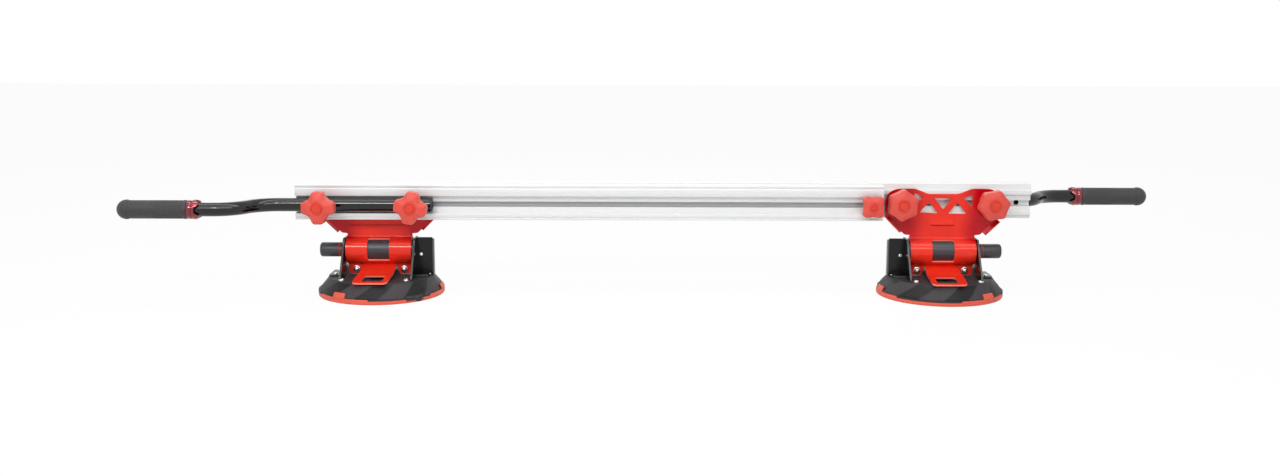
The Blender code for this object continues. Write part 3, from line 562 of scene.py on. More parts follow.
def cup_plate_plastic():
    """Filled polypropylene: the blades of the swirl are eroded matt and polished in turn, which the
    point attribute named swirl tells apart. The same share paints the polished blades lighter and the
    matt ones darker, painted shade for the blades' tilt to the light; the tone is cloudy at 9 mm."""
    mat, add, shader, where = new_finish("moulded grey cup plate", IOR=1.49,
                                         Specular_IOR_Level=0.20)
    swirl = add("Attribute", out="Fac", attribute_name="swirl")
    cloud = add("TexNoise", {"Vector": where, "Scale": over(9.0), "Detail": 5.0})
    mixed = add("Math", {0: cloud, 1: 0.24, 2: -0.12}, operation="MULTIPLY_ADD")
    mixed = add("Math", {0: mixed, 1: swirl}, operation="ADD")
    # Painted shade: the swirl share mixes the base colour from dark on matt blades to light on polished
    # ones.
    add("Mix", {0: mixed, 6: linear("1C1B1C"), 7: linear("423F42")}, 2,
        shader.inputs["Base Color"], data_type="RGBA")
    add("MapRange", {"Value": mixed, "To Min": 0.42, "To Max": 0.62}, to=shader.inputs["Roughness"])
    grain = add("TexNoise", {"Vector": where, "Scale": over(0.8), "Detail": 3.0})
    add("Bump", {"Height": grain, "Strength": 0.25, "Distance": 0.0002}, to=shader.inputs["Normal"])
    return mat


CORAL = coral_nylon("coral moulded nylon", "D34538", "DB5347", 0.46, 0.25)
CAP_RED = coral_nylon("red knob cap nylon", "D03420", "D83E28", 0.38, 0.12)
PAD_RUBBER = soft_rubber("orange red pad rubber", "D84C34", "E55C42", 0.62, 1.6, 0.15)
GRIP_RUBBER = soft_rubber("dark grey grip rubber", "252325", "323033", 0.62, 0.9, 0.20)
PUMP_BLACK = black_plastic("black acetal pump plastic", "313034", "3D3C41", 0.38)
PLUG_BLACK = black_plastic("black tube plug plastic", "18181A", "242426", 0.40)
PLATE_GREY = cup_plate_plastic()
print("finishes", len(bpy.data.materials))

# %% [markdown]
# ## Places from the frame
# Nothing is placed by eye: the slot's height, the cups, the knobs and the handle ends are
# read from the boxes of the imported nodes, turned back into a half's own frame, where
# outwards is +X and its rail lies on the +Y side.

# %% Read the places
def middle_z(node):
    """Middle height of a node's box."""
    low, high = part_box(node)
    return (low[2] + high[2]) / 2


def in_half(side, node):
    """A node's box turned back into its half's own frame: lowest and highest corner."""
    ends = np.array(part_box(f"{side}_{node}"), float)
    ends[:, 0] -= RAIL_MID
    ends[:, :2] *= HALVES[side]
    return ends.min(0), ends.max(0)


PLATE_R = 0.1022                                 # cup plate
SLOT_Z = middle_z("right_handle_tube")
PUMP_Z = middle_z("right_pump_barrel")
RAIL_LOW, RAIL_HIGH = in_half("right", "rail")
cup_x = {side: in_half(side, "cup_plate")[0][0] + PLATE_R for side in HALVES}
grip_end = {side: in_half(side, "grip")[1][0] for side in HALVES}
print("slot", round(SLOT_Z, 4), "cups", cup_x, "grip ends", grip_end)

# %% [markdown]
# ## Rails
# A rail is a bar pushed through a die, so one section drawn along X is the honest way to
# make it. Every corner of a die has a small radius: corners are set back 0.7 mm outside
# and 0.25 mm in the slots. The bottoms of the T-slots are left out of the sweep where
# holes are drilled, and filled flat, round the holes.

# %% Rail section
FACE, LAND, LIP = 0.0320, 0.0046, 0.00015        # outer face, inner face, contact lips
FLOOR = 0.0230                                   # floor of the outer channel
CAVE, IN_CAVE, T_DEEP = 0.0205, 0.0071, 0.0059   # where the T-slots widen, and their depth
OUT_BOTTOM, IN_BOTTOM = CAVE - T_DEEP, IN_CAVE + T_DEEP
OPEN_OUT, OPEN_IN, T_HALF = 0.0142, 0.0147, 0.0075
MOUTH_OUT, MOUTH_IN, WALL = 0.0043, 0.0050, 0.0025
LIP_TOP, LIP_LOW = 0.0218, 0.0194                # ends of the contact lips, from the slot
HOLE_R, END_HOLE, LOCK_HOLE = 0.0043, 0.0212, 0.0192
TOP, LOW, Z = RAIL_HIGH[2], RAIL_LOW[2], SLOT_Z
R, S = 0.0007, 0.00025                           # set-back of outer and of slot corners
DEEP_LINE, DIE_LINE = FACE - 0.0011, FACE - 0.0005   # floors of the lines along the face
low_line, top_line = LOW + 0.0027, TOP - 0.0062
rail_corners = [
    (LAND, LOW, R), (FACE, LOW, R), (FACE, low_line, S), (DEEP_LINE, low_line + 0.0005, S),
    (DEEP_LINE, low_line + 0.0014, S), (FACE, low_line + 0.0019, S), (FACE, Z - OPEN_OUT, R),
    (FLOOR, Z - OPEN_OUT, S), (FLOOR, Z - MOUTH_OUT, S), (CAVE, Z - MOUTH_OUT, S),
    (CAVE, Z - T_HALF, S), (OUT_BOTTOM, Z - T_HALF, S), (OUT_BOTTOM, Z + T_HALF, S),
    (CAVE, Z + T_HALF, S), (CAVE, Z + MOUTH_OUT, S), (FLOOR, Z + MOUTH_OUT, S),
    (FLOOR, Z + OPEN_OUT, S), (FACE, Z + OPEN_OUT, R), (FACE, top_line, S),
    (DIE_LINE, top_line + 0.0004, S), (DIE_LINE, top_line + 0.0026, S),
    (FACE, top_line + 0.0030, S), (FACE, TOP, R), (LAND, TOP, R), (LAND, Z + LIP_TOP, S),
    (LIP, Z + LIP_TOP, S), (LIP, Z + OPEN_IN, S), (LAND, Z + OPEN_IN, S),
    (LAND, Z + MOUTH_IN, S), (IN_CAVE, Z + MOUTH_IN, S), (IN_CAVE, Z + T_HALF, S),
    (IN_BOTTOM, Z + T_HALF, S), (IN_BOTTOM, Z - T_HALF, S), (IN_CAVE, Z - T_HALF, S),
    (IN_CAVE, Z - MOUTH_IN, S), (LAND, Z - MOUTH_IN, S), (LAND, Z - OPEN_IN, S),
    (LIP, Z - OPEN_IN, S), (LIP, Z - LIP_LOW, S), (LAND, Z - LIP_LOW, S)]
near, step, far = LAND + WALL, FLOOR - WALL, FACE - WALL
upper_hollow = [(near, Z + T_HALF + WALL, S), (step, Z + T_HALF + WALL, S),
                (step, Z + OPEN_OUT + WALL, S), (far, Z + OPEN_OUT + WALL, S),
                (far, TOP - WALL, S), (near, TOP - WALL, S)]
lower_hollow = [(near, LOW + WALL, S), (far, LOW + WALL, S), (far, Z - OPEN_OUT - WALL, S),
                (step, Z - OPEN_OUT - WALL, S), (step, Z - T_HALF - WALL, S),
                (near, Z - T_HALF - WALL, S)]
rail_loops = [soft(corners) for corners in (rail_corners, upper_hollow, lower_hollow)]


def rail_patches():
    """Section loops drawn from one end to the other, x = x0 + t (x1 - x0), with flat caps;
    the two T-slot bottoms are flat fills with round holes and a wall between them."""
    x0, x1 = RAIL_LOW[0], RAIL_HIGH[0]
    out = []
    for number, loop in enumerate(rail_loops):
        points, quads = grid(np.stack([at_x(x, loop) for x in (x0, x1)]), loop_cols=True)
        if number == 0:
            off = np.minimum(np.abs(loop[:, 0] - OUT_BOTTOM), np.abs(loop[:, 0] - IN_BOTTOM))
            flat_bottom = (off < 1e-6) & (np.roll(off, -1) < 1e-6)
            quads = quads[~flat_bottom]
        out.append((points, quads))
    flat, tris = filled(rail_loops)
    out += [(at_x(x, flat), tris) for x in (x0, x1)]
    z0, z1 = Z - T_HALF + S, Z + T_HALF - S
    holes = [ring_of(x, Z, HOLE_R, 32) for x in (x1 - END_HOLE, x0 + LOCK_HOLE)]
    flat, tris = filled([np.array([(x0, z0), (x1, z0), (x1, z1), (x0, z1)])] + holes)
    bottoms = (OUT_BOTTOM, IN_BOTTOM)
    out += [(at_y(y, flat), tris) for y in bottoms]
    return out + [grid(np.stack([at_y(y, hole) for y in bottoms]), loop_cols=True)
                  for hole in holes]


rail = rail_patches()
for side in HALVES:
    make_piece(side, "rail_extrusion", rail, (0, 0, 0), RAIL_FINISH, "rail", ["rail"],
               sharp=25)
print("rail faces", made["left_rail_extrusion"])

# %% [markdown]
# ## Handles
# A handle is 22 mm steel tube with one S-bend. A bender rolls each bend on a round die,
# so the middle line is two equal arcs that meet on a slope. A closed ring of sections,
# out along the outside and back along the bore, gives a true tube with open ends.

# %% Handle tubes
TUBE_R, TUBE_WALL = 0.0111, 0.0020
TUBE_OUT, TUBE_IN = 0.0105, 0.4925             # the tube's ends, inwards from the grip's end
GRIP_Y, SEAT_Y = 0.0909, 0.0344                # tube's middle at the grip and in the channel
BEND_START, BEND_END = 0.1500, 0.2460


def tube_line():
    """Middle line and its direction: straight, an arc of radius
    (length^2 + offset^2) / (4 offset), the same arc turned back, straight."""
    length, offset = BEND_END - BEND_START, GRIP_Y - SEAT_Y
    radius = (length ** 2 + offset ** 2) / (4 * offset)
    full = np.arctan2(length / 2, radius - offset / 2)
    a = np.linspace(0, full, 26)
    one = np.stack([-BEND_START - radius * np.sin(a), GRIP_Y - radius * (1 - np.cos(a)), a], 1)
    a = a[::-1]
    two = np.stack([-BEND_END + radius * np.sin(a), SEAT_Y + radius * (1 - np.cos(a)), a], 1)
    line = np.concatenate([[[-TUBE_OUT, GRIP_Y, 0]], one, two[1:], [[-TUBE_IN, SEAT_Y, 0]]])
    way = np.stack([-np.cos(line[:, 2]), -np.sin(line[:, 2]), 0 * line[:, 2]], 1)
    return line * [1, 1, 0], way


def tube_patches():
    """Circle carried square to the line: point + r (cos a * side + sin a * up)."""
    line, way = tube_line()
    side_way = np.stack([-way[:, 1], way[:, 0], way[:, 2]], 1)
    a = np.linspace(0, 2 * pi, 40, endpoint=False)
    circle = np.cos(a)[None, :, None] * side_way[:, None, :] + np.sin(a)[None, :, None] * [0, 0, 1.0]
    outside = line[:, None, :] + TUBE_R * circle
    inside = (line[:, None, :] + (TUBE_R - TUBE_WALL) * circle)[::-1]
    return [grid(np.concatenate([outside, inside]), True, True)]


tube = tube_patches()
for side in HALVES:
    make_piece(side, "handle_bend", tube, (grip_end[side], 0, SLOT_Z), TUBE_ENAMEL, "handle",
               ["handle_tube"])
print("tube faces", made["left_handle_bend"])

# %% [markdown]
# ## Grips, rings and plugs
# The grip is a moulded rubber sleeve: a domed end, a raised bead, a smooth half and then,
# past a parting line, a half with fine grooves cut lengthwise. A turned surface does it,
# if its radius may also depend on the angle: the grooves are a cosine round the axis that
# fades in and out along it. The red clamping ring ends in four scallops the same way.

# %% Grips
GRIP_R, GRIP_LEN, BORE, DOME_R = 0.0148, 0.1135, 0.0114, 0.0158
GROOVES, GROOVE_DEEP = 36, 0.00042
dome = [(DOME_R * np.sin(t), -DOME_R * (1 - np.cos(t))) for t in np.linspace(0.0, 1.52, 14)]
bead = [(DOME_R, -0.0168), (DOME_R, -0.0178), (0.0152, -0.0188), (GRIP_R, -0.0192),
        (0.0145, -0.0196), (0.0146, -0.0202), (GRIP_R, -0.0208)]
smooth_half = [(GRIP_R, -0.0209 - 0.0386 * t) for t in np.linspace(0.02, 1, 8)]
parting = [(GRIP_R, -0.0596), (0.0145, -0.0598), (0.0145, -0.0602), (GRIP_R, -0.0604)]
grooved = [(GRIP_R, -0.0604 - 0.0470 * t) for t in np.linspace(0.02, 1, 24)]
end_bead = [(0.0149, -0.1078), (0.0152, -0.1084), (0.0153, -0.1094), (0.0152, -0.1112),
            (0.0149, -0.1124), (0.0142, -0.1133), (0.0134, -GRIP_LEN), (BORE, -GRIP_LEN)]
grip_rows = (dome + bead + smooth_half + parting + grooved + end_bead
             + [(BORE, -0.0102), (0, -0.0102)])


def grip_grooves(a, rows):
    """Depth times a rounded square wave of the angle, only on grooved rows."""
    h = rows[:, 1:2]
    window = np.clip((-0.0612 - h) / 0.0012, 0, 1) * np.clip((h + 0.1066) / 0.0012, 0, 1)
    window = window * (rows[:, 0:1] > 0.0140)
    wave = 0.5 - 0.5 * np.tanh(3.0 * np.cos(GROOVES * a)) / np.tanh(3.0)
    return -GROOVE_DEEP * window * wave


grip = lathe(grip_rows, GROOVES * 8, "+X", grip_grooves)
for side in HALVES:
    make_piece(side, "grip_sleeve", grip, (grip_end[side], GRIP_Y, SLOT_Z), GRIP_RUBBER, "handle",
               ["grip"])
print("grip faces", made["left_grip_sleeve"])

# %% Rings and plugs
RING_TOP, RING_LEN, SCALLOP_TOP = -GRIP_LEN - 0.0003, 0.0185, 0.0110
ring_rows = [(BORE, 0.0), (0.0143, 0.0), (0.0150, -0.0004), (0.0154, -0.0012), (0.0154, -0.0068),
             (0.0150, -0.0076), (0.0141, -0.0080), (0.0141, -0.0090), (0.0156, -0.0094),
             (0.0160, -0.0102), (0.0160, -0.0110), (0.0160, -0.0170), (0.0157, -0.0181),
             (0.0150, -RING_LEN), (0.0138, -RING_LEN), (0.0131, -0.0181), (0.0131, -0.0110),
             (BORE, -0.0104), (BORE, 0.0)]
ring_rows = [(r, h + RING_TOP) for r, h in ring_rows]


def scallops(a, rows):
    """Raises the open end by up to 5.4 mm where the cosine of four times the angle is
    high, more the nearer a row lies to that end."""
    depth = np.clip((-SCALLOP_TOP + RING_TOP - rows[:, 1:2]) / (RING_LEN - SCALLOP_TOP), 0, 1)
    return 0.0054 * depth * np.clip(0.5 + 0.9 * np.cos(4 * a), 0, 1) ** 0.8


ring = lathe(ring_rows, 128, "+X", None, scallops)
SPIGOT = TUBE_R - TUBE_WALL - 0.0003
plug_rows = [(0, 0.0140), (SPIGOT - 0.0009, 0.0140), (SPIGOT, 0.0128), (SPIGOT, -0.0002),
             (TUBE_R - 0.0003, -0.0002), (TUBE_R, -0.0006), (TUBE_R, -0.0022),
             (TUBE_R - 0.0004, -0.0028), (TUBE_R - 0.0012, -0.0032), (0.0052, -0.0032),
             (0.0048, -0.0029), (0.0044, -0.0024), (0, -0.0024)]
plug = lathe(plug_rows, 48, "+X")
for side in HALVES:
    make_piece(side, "scalloped_ring", ring, (grip_end[side], GRIP_Y, SLOT_Z), ANODISED_RED,
               "handle", ["grip_ring"], sharp=40)
    make_piece(side, "end_plug", plug, (grip_end[side] - TUBE_IN, SEAT_Y, SLOT_Z), PLUG_BLACK,
               "handle", ["tube_plug"])
print("ring faces", made["left_scalloped_ring"])

# %% [markdown]
# ## Knobs
# Three moulded knobs: a four-lobed star on the handles, a six-sided wheel on the brackets
# and a small square one that locks the rails. Seen from the front each is an outline that
# never turns back on itself, so its radius is a function of the angle, and every row of the
# knob is that outline or a circle, or a mix of the two. A separate red cap with a ring
# round a raised disc closes the middle.

# %% Knob shapes
STAR = [(-0.0084, 0.0268, 0.0046), (0.0084, 0.0268, 0.0046), (0.0135, 0.0135, 0.0092)]
WHEEL = [(0.0, 0.0277, 0.0048), (0.0113, 0.0196, 0.0068)]
LOCK = [(0.0, 0.0153, 0.0055), (0.0092, 0.0175, 0.0030), (0.0160, 0.0160, 0.0042),
        (0.0175, 0.0092, 0.0030)]
KNOB_RIM = 0.0026


def around(corners, times, turn, count=192):
    """Radius at equal steps of angle of an outline made of the same run of corners turned
    about the middle. Its sides are cut fine first, then read off by angle."""
    run = np.array(corners, float)
    out = []
    for k in range(times):
        c, s = np.cos(-2 * pi * k / times), np.sin(-2 * pi * k / times)
        out.append(np.stack([run[:, 0] * c - run[:, 1] * s, run[:, 0] * s + run[:, 1] * c,
                             run[:, 2]], 1))
    line = soft(np.concatenate(out), 9)
    t = np.linspace(0, 1, 12, endpoint=False)[None, :, None]
    fine = (line[:, None, :] * (1 - t) + np.roll(line, -1, 0)[:, None, :] * t).reshape(-1, 2)
    angle, radius = np.arctan2(fine[:, 1], fine[:, 0]), np.hypot(fine[:, 0], fine[:, 1])
    want = np.linspace(0, 2 * pi, count, endpoint=False)
    return np.interp(want - radians(turn), angle, radius, period=2 * pi)


def knob_body(outline, rows, axis):
    """Rows of (share of outline, inset, circle's radius, height): radius = share *
    (outline - inset) + (1 - share) * circle. A share between 0 and 1 is a mix."""
    a = np.linspace(0, 2 * pi, len(outline), endpoint=False)
    rows = np.array(rows, float)
    share, inset, circle, h = (rows[:, k:k + 1] for k in range(4))
    r = np.maximum(share * (outline[None, :] - inset) + (1 - share) * circle, 0.0)
    points, quads = grid(polar(r, a, h), loop_cols=True)
    return [(lay(points, axis), quads)]


def knob_profile(collar, neck, high, cap, crown):
    """From the seat up: collar, underside, rounded lower rim, side with a slight draft,
    rounded upper rim, a crowned face that rises to the middle, and the step at the cap."""
    t, rim = np.linspace(0, pi / 2, 6), KNOB_RIM
    low_rim = [(1, rim * (1 - np.sin(v)), 0, neck + rim * (1 - np.cos(v))) for v in t]
    brow = high - crown
    top_rim = [(1, 0.0003 + rim * (1 - np.cos(v)), 0, brow - rim * (1 - np.sin(v))) for v in t]
    face = [(w, rim + 0.0003, cap + 0.0010, high - crown * w ** 1.6)
            for w in (0.9, 0.75, 0.6, 0.45, 0.3, 0.15, 0)]
    return ([(0, 0, 0, 0), (0, 0, collar - 0.0008, 0), (0, 0, collar, 0.0008),
             (0, 0, collar, neck - 0.0020), (0, 0, collar + 0.0006, neck - 0.0007),
             (0, 0, collar + 0.0022, neck)] + low_rim + top_rim + face
            + [(0, 0, cap, high - 0.0004), (0, 0, 0, high - 0.0004)])


def cap_rows(cap, high):
    """Ring, groove and raised disc of the cap, from its rim inwards."""
    top = high + 0.0018
    return [(0, high - 0.0006), (cap, high - 0.0006), (cap, top - 0.0008), (cap - 0.0004, top - 0.0003),
            (cap - 0.0010, top - 0.0002), (cap - 0.0016, top - 0.0006), (cap - 0.0019, top - 0.0011),
            (cap - 0.0026, top - 0.0011), (cap - 0.0029, top - 0.0006), (cap - 0.0034, top - 0.0001),
            (cap * 0.35, top), (0, top)]


def make_knob(side, node, corners, times, turn, sizes, axis):
    """Moulded knob and its cap at the node's place."""
    low, top = in_half(side, node)
    _, _, high, cap, _ = sizes
    place = ((low[0] + top[0]) / 2, low[1] if axis == "+Y" else top[1], SLOT_Z)
    lobes = knob_body(around(corners, times, turn), knob_profile(*sizes), axis)
    make_piece(side, node + "_lobes", lobes, place, CORAL, node, [node])
    make_piece(side, node + "_cap", lathe(cap_rows(cap, high), 72, axis), place, CAP_RED, node)


STAR_SIZES = (0.0120, 0.0130, 0.0355, 0.0098, 0.0036)    # collar, neck, height, cap, crown
WHEEL_SIZES = (0.0150, 0.0095, 0.0305, 0.0100, 0.0024)
LOCK_SIZES = (0.0115, 0.0060, 0.0225, 0.0070, 0.0016)
star_turn = {"left_outer": 0, "left_inner": -10, "right_outer": 14, "right_inner": -6}
wheel_turn = {"right_inner": -4, "right_outer": -20, "left_outer": 9, "left_inner": 21}
for side in HALVES:
    for end in ("outer", "inner"):
        make_knob(side, "handle_knob_" + end, STAR, 4, star_turn[f"{side}_{end}"], STAR_SIZES, "+Y")
        make_knob(side, "bracket_knob_" + end, WHEEL, 6, wheel_turn[f"{side}_{end}"], WHEEL_SIZES,
                  "-Y")
    make_knob(side, "rail_lock_knob", LOCK, 4, 0, LOCK_SIZES, "+Y")
print("knob faces", made["left_handle_knob_outer_lobes"])

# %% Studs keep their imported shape
for side in HALVES:
    for name in ("rail_lock_stud", "handle_stud_outer", "handle_stud_inner",
                 "bracket_stud_outer", "bracket_stud_inner"):
        mesh = bpy.data.objects[f"{side}_{name}"].data
        mesh.materials.clear()
        mesh.materials.append(ZINC)
print("studs dressed")

# %% [markdown]
# ## Bracket sheets
# Two pieces of 2.7 mm steel sheet are cut flat by laser and then pressed. One is the truss
# plate on the rail: below its neck it curls half round the pump, meets its partner again
# in two ears and ends in a tongue. So the piece is drawn flat, as (x, s) with s along the
# sheet, cut once, and then folded by a function that knows where each s lies in space.

# %% The fold line of a sheet
SHEET, SHIFT = 0.0027, 0.0012
SADDLE_MID = 0.0192 + SHEET / 2                  # middle of the sheet round the pump
FLAT_Y = SHEET / 2 + 0.00015                     # middle of the flat, from the sheets' plane
SADDLE_TURN = radians(15.0)                      # where the arc takes over from the bend
LEAN, LEAN_FROM = 0.0300, 0.1015                 # the truss plate's top edge runs off level


def saddle_line(top, foot):
    """Middle line of the sheet, (depth from the plane, z), from the foot up: flat, a small
    reverse bend, an arc round the pump, a reverse bend, flat. Points 2 mm apart or less."""
    a = SADDLE_TURN
    y, z = SADDLE_MID * np.sin(a), SADDLE_MID * np.cos(a)
    slope = np.array([np.cos(a), -np.sin(a)])
    corner = np.array([y, z]) - slope * (y - FLAT_Y) / slope[0]
    reach = np.linalg.norm(np.array([y, z]) - corner)
    t = np.linspace(0, 1, 9)[:, None]
    bend = ((1 - t) ** 2 * (corner + [0, reach]) + 2 * t * (1 - t) * corner + t ** 2 * [y, z])
    arc_angle = np.linspace(a, pi - a, 60)[1:-1, None]
    arc = np.concatenate([SADDLE_MID * np.sin(arc_angle), SADDLE_MID * np.cos(arc_angle)], 1)
    line = np.concatenate([bend, arc, bend[::-1] * [1, -1]]) + [0, PUMP_Z]
    up = np.arange(line[0, 1] + 0.002, top, 0.002)[::-1]
    down = np.arange(line[-1, 1] - 0.001, foot, -0.001)
    return np.concatenate([np.stack([0 * up + FLAT_Y, up], 1), line,
                           np.stack([0 * down + FLAT_Y, down], 1)])[::-1]


def run_of(line):
    """Length along a line at each of its points."""
    return np.concatenate([[0], np.cumsum(np.linalg.norm(np.diff(line, axis=0), axis=1))])


fold_line = saddle_line(0.190, 0.0320)
run = run_of(fold_line)
slopes = np.gradient(fold_line, run, axis=0)
slopes = slopes / np.linalg.norm(slopes, axis=1, keepdims=True)


def s_of(z):
    """Run along the sheet at a height of its two flat stretches, or on the arc's front."""
    order = np.argsort(fold_line[:, 1])
    return np.interp(np.asarray(z, float), fold_line[order, 1], run[order])


def folder(way):
    """Fold function for a sheet on the +Y (way 1) or -Y (way -1) side of the plane."""
    def fold(x, s):
        y, z = np.interp(s, run, fold_line[:, 0]), np.interp(s, run, fold_line[:, 1])
        dy, dz = np.interp(s, run, slopes[:, 0]), np.interp(s, run, slopes[:, 1])
        size = np.hypot(dy, dz)
        return (np.stack([x, way * y, z], 1),
                np.stack([0 * x, way * dz / size, -dy / size], 1))
    return fold


def up_sheet(points):
    """Flat points given as (x, z) turned to (x, s)."""
    points = np.array(points, float)
    return np.stack([points[:, 0], s_of(points[:, 1])], 1)


def leaning(points):
    """The truss plate's top edge and windows fall outwards by 3% of their run."""
    points = np.array(points, float)
    points[:, 1] -= np.where(points[:, 1] > LEAN_FROM, LEAN * points[:, 0], 0)
    return points


def rounded_edge(points, backs):
    """Closed outline from its right half with a set-back for each corner."""
    half_points = np.concatenate([np.array(points, float), np.array(backs, float)[:, None]], 1)
    mirror = half_points[::-1].copy()
    mirror[:, 0] *= -1
    return soft(np.concatenate([half_points, mirror]), 5)


def cross_lines(loop, places):
    """Lines across a flat loop at each s, from edge to edge, so that the fill can bend
    there."""
    start, stop = loop, np.roll(loop, -1, 0)
    out = []
    for s in places:
        hit = (start[:, 1] > s) != (stop[:, 1] > s)
        x = start[hit, 0] + (s - start[hit, 1]) / (stop[hit, 1] - start[hit, 1]) * (
            stop[hit, 0] - start[hit, 0])
        out.append(((x.min(), s), (x.max(), s)))
    return out


bent = ((run > s_of(0.0500)) & (run < s_of(0.0985))
        & (np.abs(np.gradient(slopes[:, 0], run)) > 0.5))
print("sheet run", round(run[-1], 4), "points", len(run), "bent", bent.sum())


# %% Cut and fold the two sheets
EAR_X, EAR_Z, EAR_R = 0.0400, 0.0402, 0.0033
STUDS, STUD_R = (0.0800 - SHIFT, -0.0700 - SHIFT), 0.0043
window = up_sheet(soft(box_loop(-0.0183, 0.0183, 0.0578, 0.0920, 0.002), 5))
ear_holes = [up_sheet(ring_of(s * EAR_X, EAR_Z, EAR_R)) for s in (-1, 1)]
low_edge = [(0.0290, 0.0470), (0.0290, 0.0390), (0.0335, 0.0328), (0.0490, 0.0328),
            (0.0530, 0.0350), (0.0530, 0.0500), (0.0545, 0.0525), (0.0545, 0.0962)]
plate_edge = low_edge + [(0.0540, 0.1005), (0.0600, 0.1026), (0.0635, 0.1035), (0.0925, 0.1310),
                         (0.0965, 0.1330), (0.0965, 0.1570), (0.0945, 0.1690), (0.0885, 0.1765),
                         (0.0770, 0.1806), (0.0475, 0.1800), (0.0250, 0.1702)]
plate_back = [0.0001, 0.0006, 0.002, 0.003, 0.0022, 0.0004, 0.0008, 0.0006, 0.0015, 0.002, 0.002,
              0.003, 0.002, 0.004, 0.006, 0.006, 0.006, 0.005, 0.005]
clamp_edge = low_edge + [(0.0530, 0.0985), (0.0530, 0.1140)]
clamp_back = plate_back[:8] + [0.0006, 0.0025]
truss = [[(-0.0148, 0.1623, 0.001), (0.0148, 0.1623, 0.001), (0.0, 0.1440, 0.0016)]]
for s in (-1, 1):
    truss.append([(s * 0.0085, 0.1370, 0.001), (s * 0.0390, 0.1376, 0.001),
                  (s * 0.0238, 0.1560, 0.0018)])
    truss.append([(s * 0.0485, 0.1500, 0.001), (s * 0.0485, 0.1694, 0.001),
                  (s * 0.0332, 0.1636, 0.001)])
truss = [up_sheet(leaning(soft(hole))) for hole in truss]
stud_holes = [up_sheet(ring_of(x, SLOT_Z, STUD_R)) for x in STUDS]
LANCE_HALF, LANCE_LOW, LANCE_TOP = 0.0200, 0.1164, 0.1276
lance = up_sheet(box_loop(-LANCE_HALF, LANCE_HALF, LANCE_LOW, LANCE_TOP, 0))


def pressed_sheet(edge, holes, way):
    """Sheet cut along an edge given as (x, z), with holes, and folded to one side."""
    outline = np.stack([edge[:, 0], s_of(edge[:, 1])], 1)
    return folded([outline] + holes, cross_lines(outline, run[bent]), folder(way), SHEET)


plate_sheet = pressed_sheet(rounded_edge(leaning(plate_edge), plate_back),
                            [window, lance] + ear_holes + truss + stud_holes, -1)
clamp_sheet = pressed_sheet(rounded_edge(clamp_edge, clamp_back), [window] + ear_holes, 1)
print("plate", len(plate_sheet[0][1]), "clamp", len(clamp_sheet[0][1]))

# %% Tongues below the ears
TONGUE_DRIFT = 0.031                             # both trays run 1.8 degrees off square
TONGUE_LINE = np.array([(0.0014, 0.0482), (0.0390, 0.0383), (0.0412, 0.0379), (0.0925, 0.0332)])
STEEP, FLAT = -0.263, -0.0916                    # slopes of its two stretches
TRAY_HALF, TRAY_THICK = 0.0285, 0.0026
WINDOW_X, WINDOW_Y = (-0.0190, 0.0150), (0.0515, 0.0840)
LIP_START, LIP_RUN, LIP_HIGH = (0.0440, 0.0376), (0.0380, -0.0035), 0.0020    # (depth, z)


def tongue(way):
    """Tray under the saddle, drawn flat as (x, s) with s outwards and folded once: a slope,
    then a nearly level frame with a window and rounded front corners."""
    reach = run_of(TONGUE_LINE)

    def fold(x, s):
        y, z = np.interp(s, reach, TONGUE_LINE[:, 0]), np.interp(s, reach, TONGUE_LINE[:, 1])
        x = x + TONGUE_DRIFT * way * y
        slope = np.where(s < (reach[1] + reach[2]) / 2, STEEP, FLAT)
        size = np.hypot(1, slope)
        return (np.stack([x, way * y, z], 1),
                np.stack([0 * x, -way * slope / size, 1 / size], 1))

    w, end = TRAY_HALF, reach[-1]
    edge = soft([(-0.0265, 0.0, 0.0005), (0.0265, 0.0, 0.0005), (w, 0.030, 0.002), (w, end, 0.0100),
                 (-w, end, 0.0100), (-w, 0.030, 0.002)], 7)
    hole = soft(box_loop(*WINDOW_X, *np.interp(WINDOW_Y, TONGUE_LINE[:, 0], reach), 0.004), 6)
    return folded([edge, hole], cross_lines(edge, reach[1:3]), fold, TRAY_THICK)


def tongue_lip(way):
    """Turned-up side edges of the tray: a low wall whose height follows half a sine wave
    along the level stretch."""
    s = np.linspace(0, 1, 12)[:, None]
    y, z = LIP_START[0] + s * LIP_RUN[0], LIP_START[1] + s * LIP_RUN[1]
    high = LIP_HIGH * np.sin(pi * s) ** 0.6
    section = [(0.0270, 0.0), (TRAY_HALF, 0.0), (TRAY_HALF, 1.0), (0.0281, 1.3), (0.0274, 1.3),
               (0.0270, 1.0)]
    out = []
    for sign in (-1, 1):
        cols = [np.concatenate([sign * x + TONGUE_DRIFT * way * y, way * y, z + k * high + 0.0002], 1)
                for x, k in section]
        out.append(grid(np.stack(cols, 1), loop_cols=True))
    return out


print("tongue", len(tongue(1)[0][1]))

# %% What is pressed and folded on the truss plate
FLANGE_START, FLANGE_STOP = (0.0665, 0.1078), (0.0900, 0.1310)     # (x, z) along the edge
FLANGE_R, FLANGE_REACH, FLANGE_THICK = 0.0024, 0.0072, 0.0025
LOUVRE_LOW, LOUVRE_PUSH, LOUVRE_END = 0.1179, 0.0024, 0.0170
THROAT_HALF, THROAT_DROP, THROAT_THICK = 0.0206, 0.0026, 0.0012


